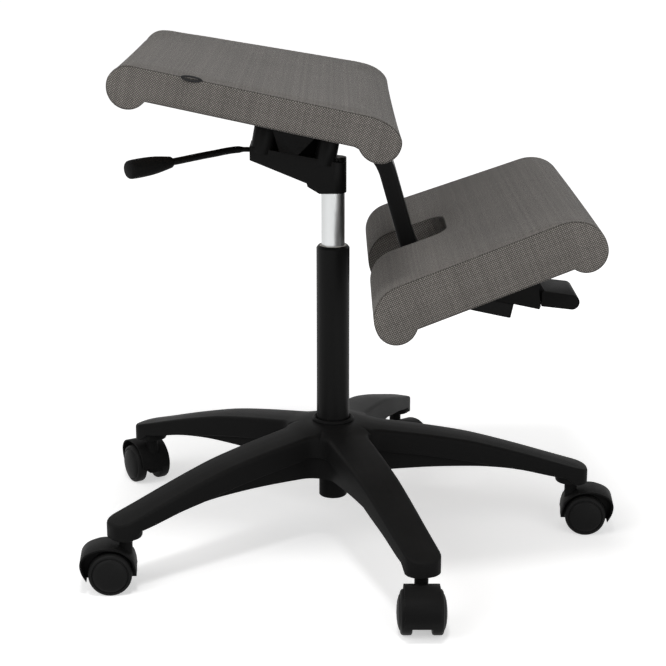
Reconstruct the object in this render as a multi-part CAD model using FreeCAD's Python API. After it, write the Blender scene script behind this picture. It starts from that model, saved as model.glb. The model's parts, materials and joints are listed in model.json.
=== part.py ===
import FreeCAD, Part
import math
import os

# An office kneeling chair on a five-arm castor base, in millimetres.
# X points forward from the seat to the knee pad, Y to the sitter's left, Z up.
# The origin is on the column's axis at floor level.

# Fits shared by the whole chair
RUNNING_CLEARANCE = 0.05
BODY_GAP = 0.5

# Five-arm base
ARM_COUNT = 5
FIRST_ARM_ANGLE = 0.9
CASTOR_CIRCLE_RADIUS = 297.0
BOSS_DIAMETER = 42.0
BOSS_BOTTOM = 64.0
ARM_ROOT_RADIUS = 60.0
ARM_ROOT_WIDTH = 52.0
ARM_TIP_WIDTH = 40.5
ARM_TIP_REACH = 19.5
ARM_TIP_CORNER = 17.0
ARM_OVERRUN = 13.5
ARM_DRAWN_REACH = 299.0
ARM_WEB_RADIUS = 18.0
ARM_TOP_EDGE_RADIUS = 6.0
BASE_WALL = 4.5
RIB_THICKNESS = 4.0
HUB_TOP = 146.0
HUB_BOTTOM = 96.0
HUB_WALL = 11.0
HUB_SKIRT_BOTTOM = 84.0

# Column and gas lift
BUSH_WALL = 2.0
COLUMN_TOP = 366.0
COLUMN_WALL = 4.0
COLUMN_FLOOR = 6.0
TAPER_PER_MM = 0.027
COLLAR_LIP = 5.6
COLLAR_HEIGHT = 4.5
FOOT_BOTTOM = 48.0
FOOT_RADIUS = 17.2
FOOT_CAP_HEIGHT = 30.0
FOOT_NECK_RADIUS = 15.0
LIFT_RADIUS = 14.0
LIFT_WALL = 2.0
LIFT_BOTTOM = 215.0
LIFT_GLAND = 12.0
BUSH_LENGTH = 66.0
ROD_RADIUS = 5.0
ROD_SHOULDER_RADIUS = 10.0
PISTON_BOTTOM = 292.0
PISTON_HEIGHT = 13.0
PIN_RADIUS = 3.0
PIN_LENGTH = 35.0

# Castors
WHEEL_RADIUS = 25.0
WHEEL_INNER_FACE = 10.3
WHEEL_OUTER_FACE = 26.4
CASTOR_TRAIL = 18.0
CASTOR_HEADINGS = (-4.5, -55.0, 122.0, 184.5, 270.0)
HOOD_WIDTH = 39.4
WHEEL_GAP = 1.6
CASTOR_WEB_WIDTH = 18.6
CASTOR_WEB_BOTTOM = 18.0
NECK_RADIUS = 7.75
STEM_RADIUS = 5.5
STEM_TOP = 85.0
STEM_FOOT = 44.0
AXLE_RADIUS = 3.0
AXLE_LENGTH = 42.0
SLEEVE_WALL = 2.0

# Seat cushion
SEAT_X = -80.0
SEAT_Z = 578.0
SEAT_SLOPE = 10.5
SEAT_LENGTH = 315.0
SEAT_REAR_WIDTH = 388.0
SEAT_FRONT_WIDTH = 508.0
SEAT_THICKNESS = 35.0
SEAT_TOP_RADIUS = 23.0
SEAT_ROLL_RADIUS = 23.5
SEAT_ROLL_DEPTH = 47.5
CROWN = 2.0
COVER_THICKNESS = 2.0
BOARD_THICKNESS = 12.0
BOARD_MARGIN = 14.0
TAG_LENGTH = 21.0
TAG_HEIGHT = 6.0
TAG_THICKNESS = 1.0
TAG_ALONG = -69.0
TAG_DROP = 0.4

# Knee pad
PAD_X = 158.7
PAD_Z = 402.9
PAD_SLOPE = 20.1
PAD_LENGTH = 260.5
PAD_REAR_WIDTH = 468.0
PAD_FRONT_WIDTH = 414.0
PAD_THICKNESS = 53.0
PAD_TOP_RADIUS = 36.0
PAD_ROLL_RADIUS = 22.5
PAD_ROLL_DEPTH = 61.0
SLOT_WIDTH = 88.0
SLOT_END = -23.5
SLOT_CORNER = 22.0

# Seat mechanism, depths measured down from the seat's top
LEDGE_DEPTH = 91.5
ARM_MIDDLE_DEPTH = 57.5
HOUSING_HALF_WIDTH = 24.0
HOUSING_REAR = -97.5
SOCKET_WALL = 2.0
HOUSING_REAR_BOTTOM = 472.0
SOCKET_BOTTOM = 432.0
SOCKET_TOP = 472.0
SOCKET_STEP_X = -30.0
SOCKET_STEP_Z = 442.5
SOCKET_CORNER_X = -16.0
HOUSING_CORNER = 15.0
BOLT_BOSS_RADIUS = 13.0
BOLT_BOSS_Y = 14.0
REAR_BOLT_ALONG = 13.5
FRONT_BOLT_ALONG = 89.0
WEB_TOP_REAR = 22.0
WEB_TOP_FRONT = 73.0
WEB_FOOT_REAR = 35.0
WEB_FOOT_FRONT = 56.0
LEVER_CHANNEL = 10.0
CHEEK_THICKNESS = 4.0
BOLT_RADIUS = 4.0
BOLT_HEAD_RADIUS = 6.5
BOLT_HEAD_HEIGHT = 5.0
BOLT_GRIP = 20.0
PLATE_REAR = -40.0
PLATE_FRONT = 104.0
PLATE_HALF_WIDTH = 70.0
SCREW_RADIUS = 2.5
SCREW_HEAD_RADIUS = 5.0

# Height lever
LEVER_PIVOT_X = -52.0
LEVER_Z = 481.0
LEVER_RADIUS = 3.0
LEVER_EYE_RADIUS = 6.0
LEVER_PIN_RADIUS = 2.5
LEVER_PIN_SEAT = 9.0
LEVER_TIP_X = 5.0
LEVER_LIFT = 4.0
GRIP_START = (-184.5, -65.0, 477.0)
GRIP_END = (-230.5, -102.0, 474.0)
GRIP_RADIUS = 11.0
GRIP_SOCKET = 30.0

# Knee arm, a bent rectangular tube
ARM_THICKNESS = 20.0
ARM_WIDTH = 60.0
ARM_WALL = 2.5
ARM_CORNER = 3.5
ARM_REAR_ALONG = 1.0
ARM_BEND_ALONG = 105.0
ARM_UPPER_BEND = 67.0
ARM_STEEPNESS = 74.0
ARM_STRAIGHT = 78.0
ARM_LOWER_BEND = 112.8
TAIL_SLOPE = 12.0
TAIL_LENGTH = 41.6
PLUG_DEPTH = 14.0

# Knee bracket, slide rail and release paddle
BRACKET_HALF_WIDTH = 37.0
BRACKET_WALL = 5.0
BRACKET_BACK = 42.0
BRACKET_BOLT_ALONG = -21.0
BRACKET_BOLT_SPREAD = 0.24
BRACKET_REACH = 32.0
BRACKET_TOP_REAR = 17.0
BRACKET_TOP_FRONT = 77.0
RAIL_REAR = -6.0
RAIL_FRONT = 82.0
RAIL_HALF_WIDTH = 30.0
RAIL_HEIGHT = 13.0
RAIL_WALL = 3.0
RAIL_LIP = 9.0
SHOE_REAR = 18.0
SHOE_FRONT = 58.0
SHOE_CLEARANCE = 0.3
BRACKET_DROP = 2.0
PADDLE_PIVOT = (238.0, 326.0)
PADDLE_PIN_RADIUS = 3.0
PADDLE_HUB_RADIUS = 7.0
PADDLE_TIP_X = 293.0
PADDLE_ROOT_X = 248.0
PADDLE_TOP_Z = 317.0
PADDLE_THICKNESS = 18.0
PADDLE_SLOPE = 6.5
PADDLE_HALF_WIDTH = 37.0
PLUNGER_RADIUS = 4.0
PLUNGER_ARM = 22.0
PLUNGER_HEAD_RADIUS = 8.0
PLUNGER_WELL = 12.5

X_AXIS = FreeCAD.Vector(1, 0, 0)
Y_AXIS = FreeCAD.Vector(0, 1, 0)
Z_AXIS = FreeCAD.Vector(0, 0, 1)
ORIGIN = FreeCAD.Vector(0, 0, 0)

# Sizes that follow from the lift
COLUMN_RADIUS = LIFT_RADIUS + BUSH_WALL + COLUMN_WALL
HUB_RADIUS = COLUMN_RADIUS + HUB_WALL
COLLAR_RADIUS = COLUMN_RADIUS + COLLAR_LIP
HOUSING_FRONT = LIFT_RADIUS + SOCKET_WALL

# Depths that follow from the cushions
board_bottom = -(SEAT_THICKNESS - COVER_THICKNESS)
arm_top = -(ARM_MIDDLE_DEPTH - ARM_THICKNESS / 2)
arm_bottom = -(ARM_MIDDLE_DEPTH + ARM_THICKNESS / 2)
pad_board_bottom = -(PAD_THICKNESS - COVER_THICKNESS)
rail_bottom = pad_board_bottom - RAIL_HEIGHT
bracket_top = rail_bottom - BRACKET_DROP


def vector(x, y, z):
    """A point or direction."""
    return FreeCAD.Vector(x, y, z)


def cylinder(radius, low, high, x=0.0, y=0.0):
    """An upright cylinder between two heights."""
    return Part.makeCylinder(radius, high - low, vector(x, y, low), Z_AXIS)


def cross_cylinder(radius, half_length, x, z):
    """A cylinder along Y, centred on the middle plane."""
    return Part.makeCylinder(radius, 2 * half_length, vector(x, -half_length, z), Y_AXIS)


def block(x_low, x_high, half_width, z_low, z_high):
    """A box centred on the middle plane."""
    corner = vector(x_low, -half_width, z_low)
    return Part.makeBox(x_high - x_low, 2 * half_width, z_high - z_low, corner)


def face_of(edges):
    """A flat face inside a closed run of edges."""
    return Part.Face(Part.Wire(edges))


def line(start, end):
    """A straight edge."""
    return Part.LineSegment(start, end).toShape()


def arc(start, middle, end):
    """A round edge through three points."""
    return Part.Arc(start, middle, end).toShape()


def smooth(points):
    """A smooth edge through points."""
    curve = Part.BSplineCurve()
    curve.interpolate(points)
    return curve.toShape()


def side_prism(points, y_low, y_high):
    """A polygon drawn in side view, as (x, z) points, extruded along Y."""
    corners = [vector(x, y_low, z) for x, z in points]
    face = Part.Face(Part.makePolygon(corners + corners[:1]))
    return face.extrude(vector(0, y_high - y_low, 0))


def turned(points):
    """A polygon of (radius, z) points turned round the column's axis."""
    corners = [vector(radius, 0, z) for radius, z in points]
    face = Part.Face(Part.makePolygon(corners + corners[:1]))
    return face.revolve(ORIGIN, Z_AXIS, 360)


def joined(shapes):
    """One solid from pieces that meet."""
    result = shapes[0]
    for shape in shapes[1:]:
        result = result.fuse(shape)
    return result.removeSplitter()


def on_seat(shape):
    """Moves a shape drawn on the seat's own level plane to the sloping seat."""
    placed = shape.copy()
    placed.rotate(ORIGIN, Y_AXIS, SEAT_SLOPE)
    placed.translate(vector(SEAT_X, 0, SEAT_Z))
    return placed


def on_pad(shape):
    """Moves a shape drawn on the knee pad's own level plane to the sloping pad."""
    placed = shape.copy()
    placed.rotate(ORIGIN, Y_AXIS, -PAD_SLOPE)
    placed.translate(vector(PAD_X, 0, PAD_Z))
    return placed


def seat_point(along, height):
    """The (x, z) place of a point given along and square to the seat."""
    slope = math.radians(SEAT_SLOPE)
    x = SEAT_X + along * math.cos(slope) + height * math.sin(slope)
    z = SEAT_Z - along * math.sin(slope) + height * math.cos(slope)
    return x, z


def pad_point(along, height):
    """The (x, z) place of a point given along and square to the knee pad."""
    slope = math.radians(PAD_SLOPE)
    x = PAD_X + along * math.cos(slope) - height * math.sin(slope)
    z = PAD_Z + along * math.sin(slope) + height * math.cos(slope)
    return x, z


def arm_angle(index):
    """The direction of one base arm, in degrees."""
    return FIRST_ARM_ANGLE + 360.0 / ARM_COUNT * index


def at_castor(shape, index):
    """Moves a castor drawn with its stem on the Z axis to the end of one base arm."""
    placed = shape.copy()
    placed.rotate(ORIGIN, Z_AXIS, CASTOR_HEADINGS[index])
    angle = math.radians(arm_angle(index))
    radius = CASTOR_CIRCLE_RADIUS
    placed.translate(vector(radius * math.cos(angle), radius * math.sin(angle), 0))
    return placed


# Star base

def star_face(inset, tip_end):
    """The base's plan: five tapering arms with round webs between them."""
    root = vector(ARM_ROOT_RADIUS, ARM_ROOT_WIDTH / 2 - inset, 0)
    fall = (ARM_ROOT_WIDTH - ARM_TIP_WIDTH) / 2
    taper = math.atan2(fall, CASTOR_CIRCLE_RADIUS + ARM_TIP_REACH - ARM_ROOT_RADIUS)
    normal = vector(math.sin(taper), math.cos(taper), 0)
    corner = ARM_TIP_CORNER - inset
    web = ARM_WEB_RADIUS + inset
    half_step = math.pi / ARM_COUNT
    bisector = vector(math.cos(half_step), math.sin(half_step), 0)
    reach = (web + root.dot(normal)) / bisector.dot(normal)
    web_centre = bisector * reach
    corner_x = tip_end - corner
    corner_y = (root.dot(normal) - corner - corner_x * normal.x) / normal.y
    corner_centre = vector(corner_x, corner_y, 0)
    diagonal = (normal + X_AXIS).normalize()
    upper = [
        vector(tip_end, corner_y, 0),
        corner_centre + diagonal * corner,
        corner_centre + normal * corner,
        web_centre - normal * web,
        web_centre - bisector * web,
    ]
    lower = [vector(p.x, -p.y, 0) for p in upper]

    def spun(point, index):
        turn = FreeCAD.Rotation(Z_AXIS, arm_angle(index))
        return turn.multVec(point)

    edges = []
    for index in range(ARM_COUNT):
        low = [spun(p, index) for p in lower]
        high = [spun(p, index) for p in upper]
        next_low = spun(lower[3], index + 1)
        edges.append(line(low[3], low[2]))
        edges.append(arc(low[2], low[1], low[0]))
        edges.append(line(low[0], high[0]))
        edges.append(arc(high[0], high[1], high[2]))
        edges.append(line(high[2], high[3]))
        edges.append(arc(high[3], high[4], next_low))
    return face_of(edges)


def arm_station(distance):
    """The distance from the axis of a point drawn along an arm of the usual reach, from the hub outwards."""
    reach = CASTOR_CIRCLE_RADIUS + ARM_TIP_REACH + ARM_OVERRUN - HUB_RADIUS
    return HUB_RADIUS + distance * reach / ARM_DRAWN_REACH


def base_top_line(drop):
    """Points along the top of an arm, from the hub to past the tip."""
    heights = [
        (0.0, HUB_TOP),
        (29.0, 141.0),
        (85.0, 133.5),
        (134.0, 125.5),
        (169.0, 117.0),
        (209.0, 106.0),
        (259.0, 91.0),
        (299.0, 80.0),
    ]
    return [(arm_station(distance), height - drop) for distance, height in heights]


def base_bottom_line():
    """Points along the arched underside of an arm, from the hub to past the tip."""
    heights = [
        (0.0, HUB_SKIRT_BOTTOM),
        (39.0, 88.5),
        (85.0, 91.0),
        (119.0, 91.0),
        (159.0, 90.0),
        (202.0, 85.0),
        (240.0, 76.0),
        (264.0, 71.5),
        (299.0, 70.0),
    ]
    return [(arm_station(distance), height) for distance, height in heights]


def base_envelope(drop, flat_floor):
    """The solid of revolution that the star is cut from."""
    top = [vector(radius, 0, z) for radius, z in base_top_line(drop)]
    if flat_floor:
        bottom = [vector(HUB_RADIUS, 0, 40), vector(top[-1].x, 0, 40)]
        under = line(bottom[0], bottom[1])
    else:
        bottom = [vector(radius, 0, z) for radius, z in base_bottom_line()]
        under = smooth(bottom)
    low_axis = vector(0, 0, bottom[0].z)
    high_axis = vector(0, 0, top[0].z)
    edges = [
        line(low_axis, bottom[0]),
        under,
        line(bottom[-1], top[-1]),
        smooth(top),
        line(top[0], high_axis),
        line(high_axis, low_axis),
    ]
    solid = face_of(edges).revolve(ORIGIN, Z_AXIS, 360)
    solid.rotate(ORIGIN, Z_AXIS, arm_angle(0.5))
    return solid


def middle_height(radius):
    """Half way between the arm's top and underside, at one distance from the axis."""
    def read(table):
        for (r0, z0), (r1, z1) in zip(table, table[1:]):
            if radius <= r1:
                return z0 + (z1 - z0) * (radius - r0) / (r1 - r0)
        return table[-1][1]

    return (read(base_top_line(0)) + read(base_bottom_line())) / 2


def is_top_edge(edge, outline):
    """True for the edges where the base's top meets its sides."""
    middle = edge.valueAt((edge.FirstParameter + edge.LastParameter) / 2)
    if outline.distToShape(Part.Vertex(middle.x, middle.y, 0))[0] > 0.05:
        return False
    for point in [middle] + [vertex.Point for vertex in edge.Vertexes]:
        if point.z < middle_height(math.hypot(point.x, point.y)) + 2:
            return False
    return True


def star_base():
    """The moulded base: hollow ribbed arms, castor bosses and a tapered hub."""
    tip_end = CASTOR_CIRCLE_RADIUS + ARM_TIP_REACH
    plan = star_face(0.0, tip_end)
    outer = plan.extrude(vector(0, 0, 200)).common(base_envelope(0.0, False))
    top_edges = [edge for edge in outer.Edges if is_top_edge(edge, plan.OuterWire)]
    outer = outer.makeFillet(ARM_TOP_EDGE_RADIUS, top_edges)
    cavity_end = CASTOR_CIRCLE_RADIUS - BOSS_DIAMETER / 2 - BASE_WALL
    hollow = star_face(BASE_WALL, cavity_end).extrude(vector(0, 0, 200))
    hollow = hollow.common(base_envelope(BASE_WALL + 2, True))
    pieces = [outer.cut(hollow), cylinder(HUB_RADIUS, HUB_BOTTOM, HUB_TOP)]
    for index in range(ARM_COUNT):
        rib = block(HUB_RADIUS - 4, cavity_end + 4, RIB_THICKNESS / 2, 60, 200)
        rib.rotate(ORIGIN, Z_AXIS, arm_angle(index))
        pieces.append(rib.common(outer))
        angle = math.radians(arm_angle(index))
        x = CASTOR_CIRCLE_RADIUS * math.cos(angle)
        y = CASTOR_CIRCLE_RADIUS * math.sin(angle)
        pieces.append(cylinder(BOSS_DIAMETER / 2, BOSS_BOTTOM, 80.0, x, y))
    body = joined(pieces)
    socket = STEM_RADIUS + RUNNING_CLEARANCE + SLEEVE_WALL
    for index in range(ARM_COUNT):
        hole = cylinder(socket, BOSS_BOTTOM - 1, STEM_TOP + BODY_GAP)
        body = body.cut(at_castor(hole, index))
    return body.cut(hub_taper(HUB_BOTTOM - 1, HUB_TOP + 1))


def taper_radius(z):
    """The column's radius inside the hub."""
    return COLUMN_RADIUS - TAPER_PER_MM * (HUB_TOP - z)


def hub_taper(low, high):
    """The cone that the column wedges into."""
    radii = taper_radius(low), taper_radius(high)
    return Part.makeCone(radii[0], radii[1], high - low, vector(0, 0, low), Z_AXIS)


def castor_sleeves():
    """The five stem sleeves pressed into the base's bosses."""
    inner = STEM_RADIUS + RUNNING_CLEARANCE
    outer = cylinder(inner + SLEEVE_WALL, BOSS_BOTTOM, STEM_TOP)
    sleeve = outer.cut(cylinder(inner, BOSS_BOTTOM - 1, STEM_TOP + 1))
    return Part.makeCompound([at_castor(sleeve, index) for index in range(ARM_COUNT)])


# Column and gas lift

def column_tube():
    """The outer tube, wedged in the hub, with a floor for the bearing."""
    bore = COLUMN_RADIUS - COLUMN_WALL
    floor = HUB_BOTTOM + COLUMN_FLOOR
    hole = ROD_RADIUS + RUNNING_CLEARANCE
    return turned([
        (hole, HUB_BOTTOM),
        (taper_radius(HUB_BOTTOM), HUB_BOTTOM),
        (taper_radius(HUB_TOP), HUB_TOP),
        (COLUMN_RADIUS, COLUMN_TOP - 3),
        (COLUMN_RADIUS - 2.4, COLUMN_TOP),
        (bore, COLUMN_TOP),
        (bore, floor),
        (hole, floor),
    ])


def column_collar():
    """The low trim ring where the column enters the hub."""
    foot = vector(COLLAR_RADIUS - 0.6, 0, HUB_TOP)
    low = vector(COLLAR_RADIUS, 0, HUB_TOP + 1)
    middle = vector(COLLAR_RADIUS - 0.9, 0, HUB_TOP + COLLAR_HEIGHT - 0.9)
    high = vector(COLLAR_RADIUS - 2.6, 0, HUB_TOP + COLLAR_HEIGHT)
    inner_low = vector(COLUMN_RADIUS, 0, HUB_TOP)
    inner_high = vector(COLUMN_RADIUS, 0, HUB_TOP + COLLAR_HEIGHT * 0.4)
    edges = [
        line(inner_low, foot),
        line(foot, low),
        arc(low, middle, high),
        line(high, inner_high),
        line(inner_high, inner_low),
    ]
    return face_of(edges).revolve(ORIGIN, Z_AXIS, 360)


def guide_bush():
    """The plastic bush that guides the lift in the column."""
    inner = LIFT_RADIUS + RUNNING_CLEARANCE
    outer = COLUMN_RADIUS - COLUMN_WALL
    return turned([
        (inner, COLUMN_TOP - BUSH_LENGTH),
        (outer, COLUMN_TOP - BUSH_LENGTH),
        (outer, COLUMN_TOP),
        (inner, COLUMN_TOP),
    ])


def column_foot():
    """The cap under the column that covers the rod's end."""
    hollow = FOOT_NECK_RADIUS - 3
    cap_top = FOOT_BOTTOM + FOOT_CAP_HEIGHT
    return turned([
        (0, FOOT_BOTTOM),
        (FOOT_RADIUS - 1, FOOT_BOTTOM),
        (FOOT_RADIUS, FOOT_BOTTOM + 1),
        (FOOT_RADIUS, cap_top - 1),
        (FOOT_RADIUS - 1, cap_top),
        (FOOT_NECK_RADIUS, cap_top),
        (FOOT_NECK_RADIUS, HUB_BOTTOM),
        (hollow, HUB_BOTTOM),
        (hollow, FOOT_BOTTOM + 5),
        (0, FOOT_BOTTOM + 5),
    ])


def thrust_race():
    """The bearing ring on the column's floor that carries the swivelling rod."""
    low = HUB_BOTTOM + COLUMN_FLOOR
    ring = cylinder(ROD_SHOULDER_RADIUS + 1, low, low + 6)
    return ring.cut(cylinder(ROD_RADIUS + BODY_GAP, low - 1, low + 7))


def shoulder_bottom():
    """The height of the rod's shoulder, just over the bearing ring."""
    return HUB_BOTTOM + COLUMN_FLOOR + 6 + RUNNING_CLEARANCE


def piston_rod():
    """The lift's rod, with the shoulder that turns on the bearing ring."""
    rod = cylinder(ROD_RADIUS, HUB_BOTTOM - 14, PISTON_BOTTOM)
    shoulder = cylinder(ROD_SHOULDER_RADIUS, shoulder_bottom(), shoulder_bottom() + 3)
    return joined([rod, shoulder])


def piston():
    """The piston on the rod's upper end."""
    radius = LIFT_RADIUS - LIFT_WALL - RUNNING_CLEARANCE
    return cylinder(radius, PISTON_BOTTOM, PISTON_BOTTOM + PISTON_HEIGHT)


def rubber_buffer():
    """The rubber stop on the rod under the lift."""
    low = shoulder_bottom() + 3
    ring = cylinder(ROD_SHOULDER_RADIUS + 0.5, low, low + 16)
    return ring.cut(cylinder(ROD_RADIUS, low - 1, low + 17))


def retaining_clip():
    """The spring clip that keeps the rod in the column."""
    high = HUB_BOTTOM - 0.3
    ring = cylinder(FOOT_NECK_RADIUS - 4, high - 2, high)
    return ring.cut(cylinder(ROD_RADIUS, high - 3, high + 1))


def lift_taper(low, high):
    """The tapered upper end of the lift that wedges in the socket."""
    top_radius = LIFT_RADIUS - TAPER_PER_MM * (high - SOCKET_BOTTOM)
    low_radius = LIFT_RADIUS - TAPER_PER_MM * (low - SOCKET_BOTTOM)
    return Part.makeCone(low_radius, top_radius, high - low, vector(0, 0, low), Z_AXIS)


def lift_top():
    """The height of the lift's upper end."""
    return SOCKET_TOP - 2


def lift_cylinder():
    """The polished pressure tube, closed at the top, with a gland below."""
    tube = cylinder(LIFT_RADIUS, LIFT_BOTTOM, SOCKET_BOTTOM)
    body = joined([tube, lift_taper(SOCKET_BOTTOM, lift_top())])
    chamber = cylinder(LIFT_RADIUS - LIFT_WALL, LIFT_BOTTOM + LIFT_GLAND, SOCKET_BOTTOM - 8)
    gland = cylinder(ROD_RADIUS + RUNNING_CLEARANCE, LIFT_BOTTOM - 1, LIFT_BOTTOM + LIFT_GLAND + 1)
    valve = cylinder(PIN_RADIUS + RUNNING_CLEARANCE, SOCKET_BOTTOM, lift_top() + 1)
    return body.cut(chamber).cut(gland).cut(valve)


def release_pin():
    """The valve pin that the lever presses to free the lift."""
    top = LEVER_Z - LEVER_RADIUS - 0.3
    return cylinder(PIN_RADIUS, top - PIN_LENGTH, top)


# Seat mechanism

def above_ledge(height):
    """A large block over a level of the seat, used for cutting."""
    return on_seat(block(-300, 300, 200, height, height + 300))


def mechanism_housing():
    """The black housing: a tapering body with the lift's socket and four bolt bosses."""
    lower = side_prism([
        (HOUSING_REAR, HOUSING_REAR_BOTTOM),
        (SOCKET_STEP_X - 1, SOCKET_STEP_Z + 2),
        (SOCKET_STEP_X, SOCKET_STEP_Z - 2),
        (SOCKET_CORNER_X, SOCKET_BOTTOM),
        (HOUSING_FRONT, SOCKET_BOTTOM),
        (HOUSING_FRONT, SOCKET_TOP + 60),
        (HOUSING_REAR, SOCKET_TOP + 60),
    ], -HOUSING_HALF_WIDTH, HOUSING_HALF_WIDTH)
    upright = []
    for edge in lower.Edges:
        ends = [vertex.Point for vertex in edge.Vertexes]
        if all(abs(p.x - HOUSING_FRONT) < 0.01 for p in ends) and abs(ends[0].y - ends[1].y) < 0.01:
            upright.append(edge)
    lower = lower.makeFillet(HOUSING_CORNER, upright).cut(above_ledge(-LEDGE_DEPTH))
    socket = cylinder(HOUSING_FRONT, SOCKET_BOTTOM, SOCKET_TOP)
    pieces = [lower, socket]
    for along in (REAR_BOLT_ALONG, FRONT_BOLT_ALONG):
        for side in (-1, 1):
            boss = cylinder(BOLT_BOSS_RADIUS, -LEDGE_DEPTH - 6, arm_bottom, along, side * BOLT_BOSS_Y)
            pieces.append(on_seat(boss))
    web = side_prism([
        (WEB_FOOT_REAR, -LEDGE_DEPTH - 1),
        (WEB_FOOT_FRONT, -LEDGE_DEPTH - 1),
        (WEB_TOP_FRONT, arm_bottom),
        (WEB_TOP_REAR, arm_bottom),
    ], -HOUSING_HALF_WIDTH + 1, HOUSING_HALF_WIDTH - 1)
    pieces.append(on_seat(web))
    for side in (-1, 1):
        walls = sorted((side * LEVER_CHANNEL, side * (LEVER_CHANNEL + CHEEK_THICKNESS)))
        cheek = side_prism([
            (REAR_BOLT_ALONG, -LEDGE_DEPTH - 1),
            (FRONT_BOLT_ALONG, -LEDGE_DEPTH - 1),
            (FRONT_BOLT_ALONG, arm_bottom),
            (REAR_BOLT_ALONG, arm_bottom),
        ], walls[0], walls[1])
        pieces.append(on_seat(cheek))
    body = joined(pieces)
    floor = 6.0
    channel = side_prism([
        (HOUSING_REAR + 5, HOUSING_REAR_BOTTOM + floor),
        (SOCKET_STEP_X, SOCKET_STEP_Z + floor),
        (-LIFT_RADIUS - 4, SOCKET_STEP_Z + floor),
        (-LIFT_RADIUS - 4, SOCKET_TOP),
        (LEVER_TIP_X + 20, SOCKET_TOP),
        (LEVER_TIP_X + 20, SOCKET_TOP + 60),
        (HOUSING_REAR + 5, SOCKET_TOP + 60),
    ], -LEVER_CHANNEL, LEVER_CHANNEL)
    sweep = (LEVER_PIVOT_X - HOUSING_REAR) * math.sin(math.radians(LEVER_LIFT))
    slot_low = LEVER_Z - LEVER_RADIUS - BODY_GAP
    slot_high = LEVER_Z + LEVER_RADIUS + BODY_GAP + sweep + 0.5
    slot = block(HOUSING_REAR - 5, HOUSING_REAR + 8, LEVER_RADIUS + BODY_GAP, slot_low, slot_high)
    body = body.cut(channel).cut(slot)
    body = body.cut(lift_taper(SOCKET_BOTTOM - 1, SOCKET_TOP + 1))
    body = body.cut(cross_cylinder(LEVER_PIN_RADIUS, LEVER_CHANNEL + LEVER_PIN_SEAT, LEVER_PIVOT_X, LEVER_Z))
    return body.cut(frame_bolt_holes(BOLT_RADIUS))


def bolt_places():
    """The four bolts through arm and housing, along and across the seat."""
    places = []
    for along in (REAR_BOLT_ALONG, FRONT_BOLT_ALONG):
        for side in (-1, 1):
            places.append((along, side * (BOLT_BOSS_Y + 3)))
    return places


def frame_bolt_holes(radius):
    """The bolts' shanks, from the mounting plate down into the bosses."""
    low = arm_bottom - BOLT_GRIP
    shanks = [cylinder(radius, low, board_bottom, along, y) for along, y in bolt_places()]
    return on_seat(Part.makeCompound(shanks))


def frame_bolts():
    """Four bolts that clamp the mounting plate and the knee arm to the housing."""
    bolts = []
    head_top = board_bottom - 1
    for along, y in bolt_places():
        shank = cylinder(BOLT_RADIUS, arm_bottom - BOLT_GRIP, head_top, along, y)
        head = cylinder(BOLT_HEAD_RADIUS, head_top - BOLT_HEAD_HEIGHT, head_top, along, y)
        bolts.append(on_seat(joined([shank, head])))
    return Part.makeCompound(bolts)


def screw_places():
    """The screws that hold the mounting plate to the seat board."""
    edge = PLATE_HALF_WIDTH - 15
    return [(along, side * edge) for along in (PLATE_REAR + 14, PLATE_FRONT - 14) for side in (-1, 1)]


def mounting_plate():
    """The plate between the seat board and the knee arm."""
    plate = block(PLATE_REAR, PLATE_FRONT, PLATE_HALF_WIDTH, arm_top, board_bottom)
    for along, y in bolt_places():
        plate = plate.cut(cylinder(BOLT_RADIUS, arm_top - 1, board_bottom + 1, along, y))
        head_low = board_bottom - 1 - BOLT_HEAD_HEIGHT
        plate = plate.cut(cylinder(BOLT_HEAD_RADIUS, head_low, board_bottom + 1, along, y))
    for along, y in screw_places():
        plate = plate.cut(cylinder(SCREW_RADIUS, arm_top - 1, board_bottom + 1, along, y))
    return on_seat(plate)


def seat_screws():
    """Four wood screws up through the mounting plate into the seat board."""
    screws = []
    for along, y in screw_places():
        shank = cylinder(SCREW_RADIUS, arm_top, board_bottom + BOARD_THICKNESS - 3, along, y)
        head = cylinder(SCREW_HEAD_RADIUS, arm_top - 3, arm_top, along, y)
        screws.append(on_seat(joined([shank, head])))
    return Part.makeCompound(screws)


# Height lever

def lever_rod():
    """The bent lever rod with its pivot eye."""
    grip_start = vector(*GRIP_START)
    along_grip = (vector(*GRIP_END) - grip_start).normalize()
    bend_start = vector(HOUSING_REAR - 8, 0, LEVER_Z)
    curve = Part.BSplineCurve()
    middle = vector(-143.0, -25.5, LEVER_Z - 1.6)
    curve.interpolate(
        [bend_start, middle, grip_start],
        InitialTangent=vector(-1, 0, 0) * 60,
        FinalTangent=along_grip * 60,
    )
    tip = vector(LEVER_TIP_X, 0, LEVER_Z)
    path = Part.Wire([
        line(tip, bend_start),
        curve.toShape(),
        line(grip_start, grip_start + along_grip * GRIP_SOCKET),
    ])
    section = Part.Wire(Part.makeCircle(LEVER_RADIUS, tip, vector(-1, 0, 0)))
    rod = path.makePipeShell([section], True, True)
    eye = cross_cylinder(LEVER_EYE_RADIUS, LEVER_CHANNEL - 1, LEVER_PIVOT_X, LEVER_Z)
    hole = cross_cylinder(LEVER_PIN_RADIUS + RUNNING_CLEARANCE, LEVER_CHANNEL, LEVER_PIVOT_X, LEVER_Z)
    return joined([rod, eye]).cut(hole)


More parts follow.
